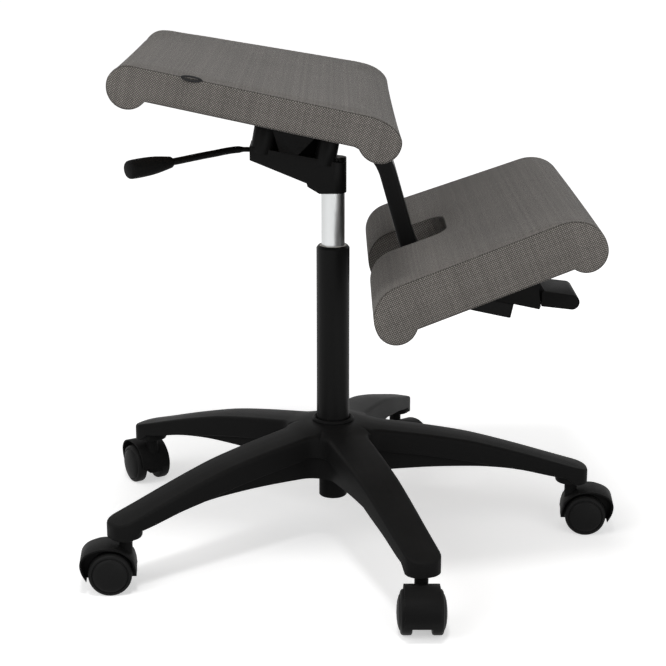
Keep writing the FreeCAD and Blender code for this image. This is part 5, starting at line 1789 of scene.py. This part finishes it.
@dataclass
class Castors:
    """The twin-wheel castors: domed wheels with a rim ring under thin hoods. Millimetres."""

    count: int = 5
    trail: float = 18.0
    axle_height: float = 25.0
    hood_half: float = 19.7
    shell: float = 2.0
    web_half: float = 9.3
    web_floor: float = -7.0
    rounding: float = 0.5
    rounded_from: float = 50.0
    tip: float = 0.5
    tip_run: float = 1.2
    axle: float = 3.0
    axle_half: float = 20.9
    axle_sides: int = 24
    neck_sides: int = 40
    wheel_sides: int = 64
    shell_steps: int = 72
    slope_step: float = 0.05
    hood_line: Tuple[Point, ...] = (
        (-29.8, -1.0), (-28.6, 8.5), (-24.5, 18.5), (-12.0, 28.0), (4.0, 31.0), (16.0, 29.5), (28.0, 24.0),
        (34.3, 14.5), (33.2, 3.0), (27.5, -8.4))
    neck: Tuple[Point, ...] = ((CORE, 46.0), (5.6, 46.0), (5.6, 63.5), (7.2, 63.5), (7.75, 63.0),
                               (7.75, 36.0), (CORE, 36.0))
    wheel: Tuple[Point, ...] = (
        (3.5, 10.4), (19.0, 10.4), (22.8, 10.7), (24.4, 11.5), (25.0, 13.0), (25.0, 20.2), (24.7, 21.6),
        (23.9, 22.7), (22.4, 23.5), (21.3, 23.8), (20.9, 23.4), (20.5, 23.0), (20.0, 23.2), (19.7, 23.9),
        (19.0, 24.7), (16.5, 25.7), (12.5, 26.7), (8.0, 27.3), (3.5, 27.6), (0.4, 27.7))

    def place(self, frame: dict, index: int, side: WheelSide) -> Matrix:
        """Where a wheel goes: on its axle, with its domed face outwards.

        Args:
            frame: The loaded frame.
            index: The castor's number.
            side: Which of its wheels.

        Returns:
            The matrix from the turned wheel to its place.
        """
        joints = joints_of(frame)
        roll = joints["wheel_%d_%s_roll" % (index, side.value)]
        stem = Vector(joints["castor_%d_swivel" % index]["pos_m"])
        axis = Vector(roll["axis"]).normalized()
        hub = Vector(roll["pos_m"])
        middle = hub - axis * (hub - stem).dot(axis)
        low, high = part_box("castor_wheel_%d_%s" % (index, side.value))
        outward = ((Vector(low) + Vector(high)) / 2 - middle).dot(axis)
        axis = axis if outward > 0 else -axis
        return Matrix.Translation(middle) @ axis.to_track_quat("Z", "Y").to_matrix().to_4x4()

    def shell_lines(self) -> Tuple[List[Point], List[Point]]:
        """Draws the hood from the side, about its axle. It thins out at its two tips.

        Returns:
            The hood's outer and inner line.
        """
        count = len(self.hood_line) - 1
        across = [(float(index), spot[0]) for index, spot in enumerate(self.hood_line)]
        up = [(float(index), spot[1]) for index, spot in enumerate(self.hood_line)]
        outer, inner = [], []
        for step in range(self.shell_steps + 1):
            place = count * step / self.shell_steps
            here = Vector((smooth_read(across, place), smooth_read(up, place)))
            ahead = min(place + self.slope_step, float(count))
            behind = max(place - self.slope_step, 0.0)
            run = Vector((smooth_read(across, ahead) - smooth_read(across, behind),
                          smooth_read(up, ahead) - smooth_read(up, behind))).normalized()
            share = ease(min(place, count - place) / self.tip_run)
            depth = self.tip + (self.shell - self.tip) * share
            outer.append((here.x, here.y))
            inner.append((here.x + run.y * depth, here.y - run.x * depth))
        return outer, inner

    def hood(self) -> bpy.types.Object:
        """Builds a hood about its stem's axis: shell, web between the wheels, neck and axle.

        Returns:
            The hood, trailing along the X axis.
        """
        outer, inner = self.shell_lines()
        verts: List[Vector] = []
        faces: List[Tuple[int, ...]] = []

        def place(spot: Point, side: float) -> int:
            """Adds a point of the hood and gives its index."""
            verts.append(Vector((self.trail + spot[0], side, self.axle_height + spot[1])) * MM)
            return len(verts) - 1

        rings = [[place(far, -self.hood_half), place(far, self.hood_half), place(near, self.hood_half),
                  place(near, -self.hood_half)] for far, near in zip(outer, inner)]
        for here, there in zip(rings, rings[1:]):
            for a in range(4):
                b = (a + 1) % 4
                faces.append((here[a], here[b], there[b], there[a]))
        faces += [tuple(rings[0]), tuple(rings[-1][::-1])]
        middle = [((a[0] + b[0]) / 2, (a[1] + b[1]) / 2) for a, b in zip(outer, inner)]
        middle = [spot for spot in middle if spot[1] > self.web_floor]
        middle.append((middle[-1][0], self.web_floor))
        middle.append((middle[0][0], self.web_floor))
        left = [place(spot, -self.web_half) for spot in middle]
        right = [place(spot, self.web_half) for spot in middle]
        faces += [tuple(left), tuple(right[::-1])]
        for a in range(len(middle)):
            b = (a + 1) % len(middle)
            faces.append((left[a], left[b], right[b], right[a]))
        mesh = bpy.data.meshes.new("hood")
        mesh.from_pydata(verts, [], faces)
        shell = linked("hood", mesh)
        only(shell)
        bpy.ops.object.mode_set(mode="EDIT")
        bpy.ops.mesh.select_all(action="SELECT")
        bpy.ops.mesh.normals_make_consistent(inside=False)
        bpy.ops.object.mode_set(mode="OBJECT")
        apply_modifier(shell, "BEVEL", width=self.rounding * MM, segments=2, limit_method="ANGLE",
                       angle_limit=math.radians(self.rounded_from))
        neck = lathe("neck", self.neck, self.neck_sides)
        hub = (self.trail, self.axle_height)
        axle = cross_bar("axle", self.axle, self.axle_half, hub, self.axle_sides)
        return joined(shell, neck, axle)

    def build(self, frame: dict, finishes: Finishes) -> None:
        """Builds and dresses the wheels and hoods.

        Args:
            frame: The loaded frame.
            finishes: The materials.
        """
        pattern = lathe("wheel", self.wheel, self.wheel_sides)
        cover = self.hood()
        joints = joints_of(frame)
        for index in range(1, self.count + 1):
            stem = Vector(joints["castor_%d_swivel" % index]["pos_m"])
            ahead = self.place(frame, index, WheelSide.LEFT).translation - stem
            hood = linked("castor_hood_%d" % index, cover.data.copy())
            hood.data.transform(Matrix.Translation((stem.x, stem.y, 0.0))
                                @ Matrix.Rotation(math.atan2(ahead.y, ahead.x), 4, "Z"))
            finish_piece(hood, "castor_%d" % index, Slot.PLASTIC, finishes, "castor_body_%d" % index)
            for side in WheelSide:
                name = "wheel_%d_%s" % (index, side.value)
                wheel = linked("domed_" + name, pattern.data.copy())
                wheel.data.transform(self.place(frame, index, side))
                finish_piece(wheel, name, Slot.WHEEL, finishes, "castor_" + name)
        bpy.data.objects.remove(pattern)
        bpy.data.objects.remove(cover)


@dataclass
class Housing:
    """The black housing under the seat in millimetres, with painted shade in its pockets and a closed socket.
    """

    node: str = "mechanism_housing"
    body: str = "seat_frame"
    edge: float = 1.0
    # Faces that look sideways and lie this far across, in millimetres, get the painted pocket shade.
    pocket: Point = (13.0, 15.0)
    side_facing: float = 0.9
    cap_sides: int = 48
    cap: Tuple[Point, ...] = ((3.6, 470.3), (3.6, 472.0), (4.2, 472.4), (13.4, 472.4), (14.6, 472.0),
                              (14.9, 471.4), (14.9, 470.3), (3.6, 470.3))

    def build(self, frame: dict, finishes: Finishes) -> None:
        """Builds and dresses the housing.

        Args:
            frame: The loaded frame.
            finishes: The materials.
        """
        shell = softened(frame, self.node, "rounded_housing", self.edge)
        obj = joined(shell, lathe("cap", self.cap, self.cap_sides))
        finish_piece(obj, self.body, Slot.PAINT, finishes, self.node)
        # Painted shade: the recess faces in the pockets get the near-black finish.
        obj.data.materials.append(finishes.pocket)
        low, high = self.pocket
        for polygon in obj.data.polygons:
            if abs(polygon.normal.y) > self.side_facing and low < abs(polygon.center.y) / MM < high:
                polygon.material_index = 1


@dataclass
class Lever:
    """The height lever: a bent rod and a blunt grip. Millimetres."""

    body: str = "height_lever"
    tip: Place = (5.0, 0.0, 481.0)
    bend: Place = (-105.5, 0.0, 481.0)
    middle: Place = (-143.0, -25.5, 479.4)
    bend_pull: float = 45.0
    grip_pull: float = 58.0
    steps: int = 16
    rounding: int = 6
    pivot: Point = (-52.0, 481.0)
    eye: float = 6.0
    eye_half: float = 9.0
    eye_sides: int = 32
    flare: float = 6.0
    thin: float = 3.0
    thick: float = 4.2
    socket: float = 28.0
    start: Place = (-184.5, -65.0, 477.0)
    end: Place = (-230.5, -102.0, 474.0)
    grip_sides: int = 48
    grip: Tuple[Point, ...] = (
        (4.3, 0.0), (5.6, 0.3), (6.6, 1.6), (7.4, 6.0), (8.6, 13.0), (9.8, 21.0), (10.6, 30.0), (11.0, 40.0),
        (11.0, 50.0), (10.8, 55.0), (10.3, 57.6), (9.4, 58.8), (8.2, 59.2), (CORE, 59.6))

    def path(self) -> List[Vector]:
        """Draws the rod's middle line: straight in the housing, bent aside to the grip.

        Returns:
            The line's points in millimetres.
        """
        bend, middle, start = Vector(self.bend), Vector(self.middle), Vector(self.start)
        along = (Vector(self.end) - start).normalized()
        ends = [(bend, Vector((-self.bend_pull, 0.0, 0.0))), (middle, (start - bend) / 2),
                (start, along * self.grip_pull)]
        spots = [Vector(self.tip)]
        for (here, leave), (there, arrive) in zip(ends, ends[1:]):
            for step in range(self.steps):
                t = step / self.steps
                spots.append(here * (2 * t ** 3 - 3 * t ** 2 + 1) + leave * (t ** 3 - 2 * t ** 2 + t)
                             + there * (3 * t ** 2 - 2 * t ** 3) + arrive * (t ** 3 - t ** 2))
        return spots + [start, start + along * self.socket]

    def rod(self) -> bpy.types.Object:
        """Builds the bent rod with its pivot eye.

        Returns:
            The rod.
        """
        spots = self.path()
        shares = [ease((self.bend[0] - spot.x) / self.flare) for spot in spots]
        radii = [self.thin + (self.thick - self.thin) * share for share in shares]
        bar = bent_bar("bent_lever_rod", [spot * MM for spot in spots], radii, self.rounding, False)
        return joined(bar, cross_bar("eye", self.eye, self.eye_half, self.pivot, self.eye_sides))

    def build(self, finishes: Finishes) -> None:
        """Builds and dresses the rod and its grip.

        Args:
            finishes: The materials.
        """
        finish_piece(self.rod(), self.body, Slot.PAINT, finishes, "lever_rod")
        handle = lathe("blunt_grip", self.grip, self.grip_sides)
        start, end = Vector(self.start) * MM, Vector(self.end) * MM
        turned = (end - start).to_track_quat("Z", "Y").to_matrix().to_4x4()
        handle.data.transform(Matrix.Translation(start) @ turned)
        finish_piece(handle, self.body, Slot.PLASTIC, finishes, "lever_grip")


@dataclass
class Stage:
    """The floor, the soft light and the camera. Metres."""

    eye: Place = (0.0, -1.9967, 0.8052)
    tilt: float = 15.378
    lens: float = 92.04
    sensor: float = 36.0
    sky: float = 0.30
    aim: Place = (0.05, 0.0, 0.35)
    floor_size: float = 30.0
    floor_tone: float = 0.80
    # The floor's painted glow: its strength near the chair and far off, where it ramps between them, and how
    # its centre is shifted.
    glow: Point = (0.48, 0.80)
    glow_reach: Point = (0.25, 1.1)
    glow_shift: Place = (0.0, 0.12, 0.0)
    lamps: Tuple[Tuple[str, Place, float, float], ...] = (
        ("overhead", (-0.1, -0.95, 2.6), 0.4, 20.0),
        ("left_softbox", (-1.7, -1.5, 1.7), 1.6, 26.0),
        ("front_fill", (1.5, -2.4, 1.0), 2.0, 27.0),
    )

    def lamp(self, name: str, place: Place, size: float, power: float) -> None:
        """Adds a square softbox that points at the chair.

        Args:
            name: The lamp's name.
            place: Where it hangs.
            size: Its side.
            power: Its power in watts.
        """
        light = bpy.data.lights.new(name, "AREA")
        light.size = size
        light.energy = power
        obj = linked(name, light)
        obj.location = place
        obj.rotation_euler = (Vector(self.aim) - Vector(place)).to_track_quat("-Z", "Y").to_euler()

    def seen(self, wiring: Wiring) -> bpy.types.NodeSocket:
        """Tells the rays that see a surface from those that light the chair.

        Args:
            wiring: The wiring of the floor or the sky.

        Returns:
            The socket that is 1 for camera, glossy and transmission rays.
        """
        path = wiring.node("ShaderNodeLightPath")
        either = wiring.maths("MAXIMUM", path.outputs["Is Camera Ray"], path.outputs["Is Glossy Ray"])
        return wiring.maths("MAXIMUM", either, path.outputs["Is Transmission Ray"])

    def floor(self) -> None:
        """Lays the pale floor, which keeps the chair's shadow and shows white to the camera elsewhere."""
        bpy.ops.object.select_all(action="DESELECT")
        bpy.ops.mesh.primitive_plane_add(size=self.floor_size)
        plane = bpy.context.object
        plane.name = "floor"
        material, wiring, shader = start_material("pale_floor")
        material.node_tree.nodes.remove(shader)
        out = material.node_tree.nodes["Material Output"]
        matt = wiring.node("ShaderNodeBsdfDiffuse")
        matt.inputs["Color"].default_value = (*grey(self.floor_tone), 1.0)
        # Painted light: the floor glows for camera, glossy and transmission rays, least in a disc round the
        # chair whose centre sits a little towards the camera, and most further off.
        glow = wiring.node("ShaderNodeEmission")
        glow.inputs["Color"].default_value = (1.0, 1.0, 1.0, 1.0)
        place = wiring.node("ShaderNodeTexCoord").outputs["Object"]
        shift = wiring.node("ShaderNodeVectorMath", operation="ADD")
        wiring.feed(shift.inputs[0], place)
        shift.inputs[1].default_value = self.glow_shift
        away = wiring.node("ShaderNodeVectorMath", operation="LENGTH")
        wiring.feed(away.inputs[0], shift.outputs[0])
        level = wiring.span(away.outputs["Value"], *self.glow, *self.glow_reach)
        wiring.feed(glow.inputs["Strength"], wiring.maths("MULTIPLY", self.seen(wiring), level))
        both = wiring.node("ShaderNodeAddShader")
        wiring.feed(both.inputs[0], matt.outputs[0])
        wiring.feed(both.inputs[1], glow.outputs[0])
        wiring.feed(out.inputs["Surface"], both.outputs[0])
        plane.data.materials.append(material)

    def sky_light(self) -> None:
        """Sets the even light from all round, white where it is seen."""
        world = bpy.data.worlds.new("studio")
        bpy.context.scene.world = world
        world.use_nodes = True
        wiring = Wiring(world.node_tree)
        back = world.node_tree.nodes["Background"]
        wiring.feed(back.inputs["Strength"], wiring.span(self.seen(wiring), self.sky, 1.0))
        back.inputs["Color"].default_value = (1.0, 1.0, 1.0, 1.0)

    def camera(self) -> None:
        """Sets the camera beside the chair, a little above it."""
        data = bpy.data.cameras.new("camera")
        data.sensor_width = self.sensor
        data.lens = self.lens
        obj = linked("camera", data)
        obj.location = self.eye
        obj.rotation_euler = (math.radians(90.0 - self.tilt), 0.0, 0.0)
        bpy.context.scene.camera = obj

    def build(self) -> None:
        """Builds the stage."""
        bpy.context.scene.view_settings.view_transform = "Standard"
        self.floor()
        self.sky_light()
        for row in self.lamps:
            self.lamp(*row)
        self.camera()


SEAT = Cushion("seat_cushion", length=317.0, thickness=35.0, top_radius=23.0, roll_radius=23.5,
               roll_depth=47.5, rear_width=388.0, front_width=508.0, place=(-80.0, 577.4), slope=10.5,
               board_margin=14.0, swell=2.5, front_reach=40.0)
KNEE_PAD = Cushion("knee_cushion", length=265.5, thickness=53.0, top_radius=36.0, roll_radius=23.5,
                   roll_depth=63.0, rear_width=468.0, front_width=414.0, place=(157.7, 403.2), slope=-20.1,
                   board_margin=14.0, swell=2.5, front_reach=40.0,
                   cut=SlotCut(half_width=49.5, end=-26.0, corner=22.0, dip=0.6, dip_reach=9.0))
# How far the edges of these CAD nodes are rounded, in millimetres.
SOFT_EDGES: Dict[str, float] = {
    "mounting_plate": 0.7,
    "knee_bracket": 1.2,
    "release_paddle": 1.4,
    "arm_plug": 4.0,
}
# Small steel pieces with a blacked finish.
BLACKED: Tuple[str, ...] = ("paddle_pin", "lever_pivot_pin", "bracket_bolts", "frame_bolts", "shoe_screws")


def dress_nodes(frame: dict, finishes: Finishes) -> None:
    """Gives every CAD node the finish of its slot.

    Args:
        frame: The loaded frame.
        finishes: The materials.
    """
    for row in frame["record"]["subparts"]:
        slot = Slot.PAINT if row["node"] in BLACKED else Slot(row["material_slot"])
        finishes.dress(frame["nodes"][row["node"]], slot)


def main() -> None:
    """Builds the chair's looks around its frame."""
    logging.basicConfig(level=logging.INFO, format="%(name)s: %(message)s")
    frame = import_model()
    finishes = Finishes()
    dress_nodes(frame, finishes)
    finish_piece(SEAT.build(), "seat_frame", Slot.FABRIC, finishes, "seat_cover", "seat_foam")
    finish_piece(KNEE_PAD.build(), "knee_pad", Slot.FABRIC, finishes, "knee_cover", "knee_foam")
    finish_piece(SeamTag().build(SEAT), "seat_frame", Slot.TAPE, finishes, "seat_tag")
    finish_piece(StarBase().build(), "base", Slot.PLASTIC, finishes, "star_base")
    Castors().build(frame, finishes)
    Housing().build(frame, finishes)
    Lever().build(finishes)
    for node, width in SOFT_EDGES.items():
        slot = next(row["material_slot"] for row in frame["record"]["subparts"] if row["node"] == node)
        body = next(name for name, held in frame["record"]["behaviour"]["bodies"].items() if node in held)
        finish_piece(softened(frame, node, node + "_rounded", width), body, Slot(slot), finishes, node)
    Stage().build()


if __name__ == "__main__":
    main()
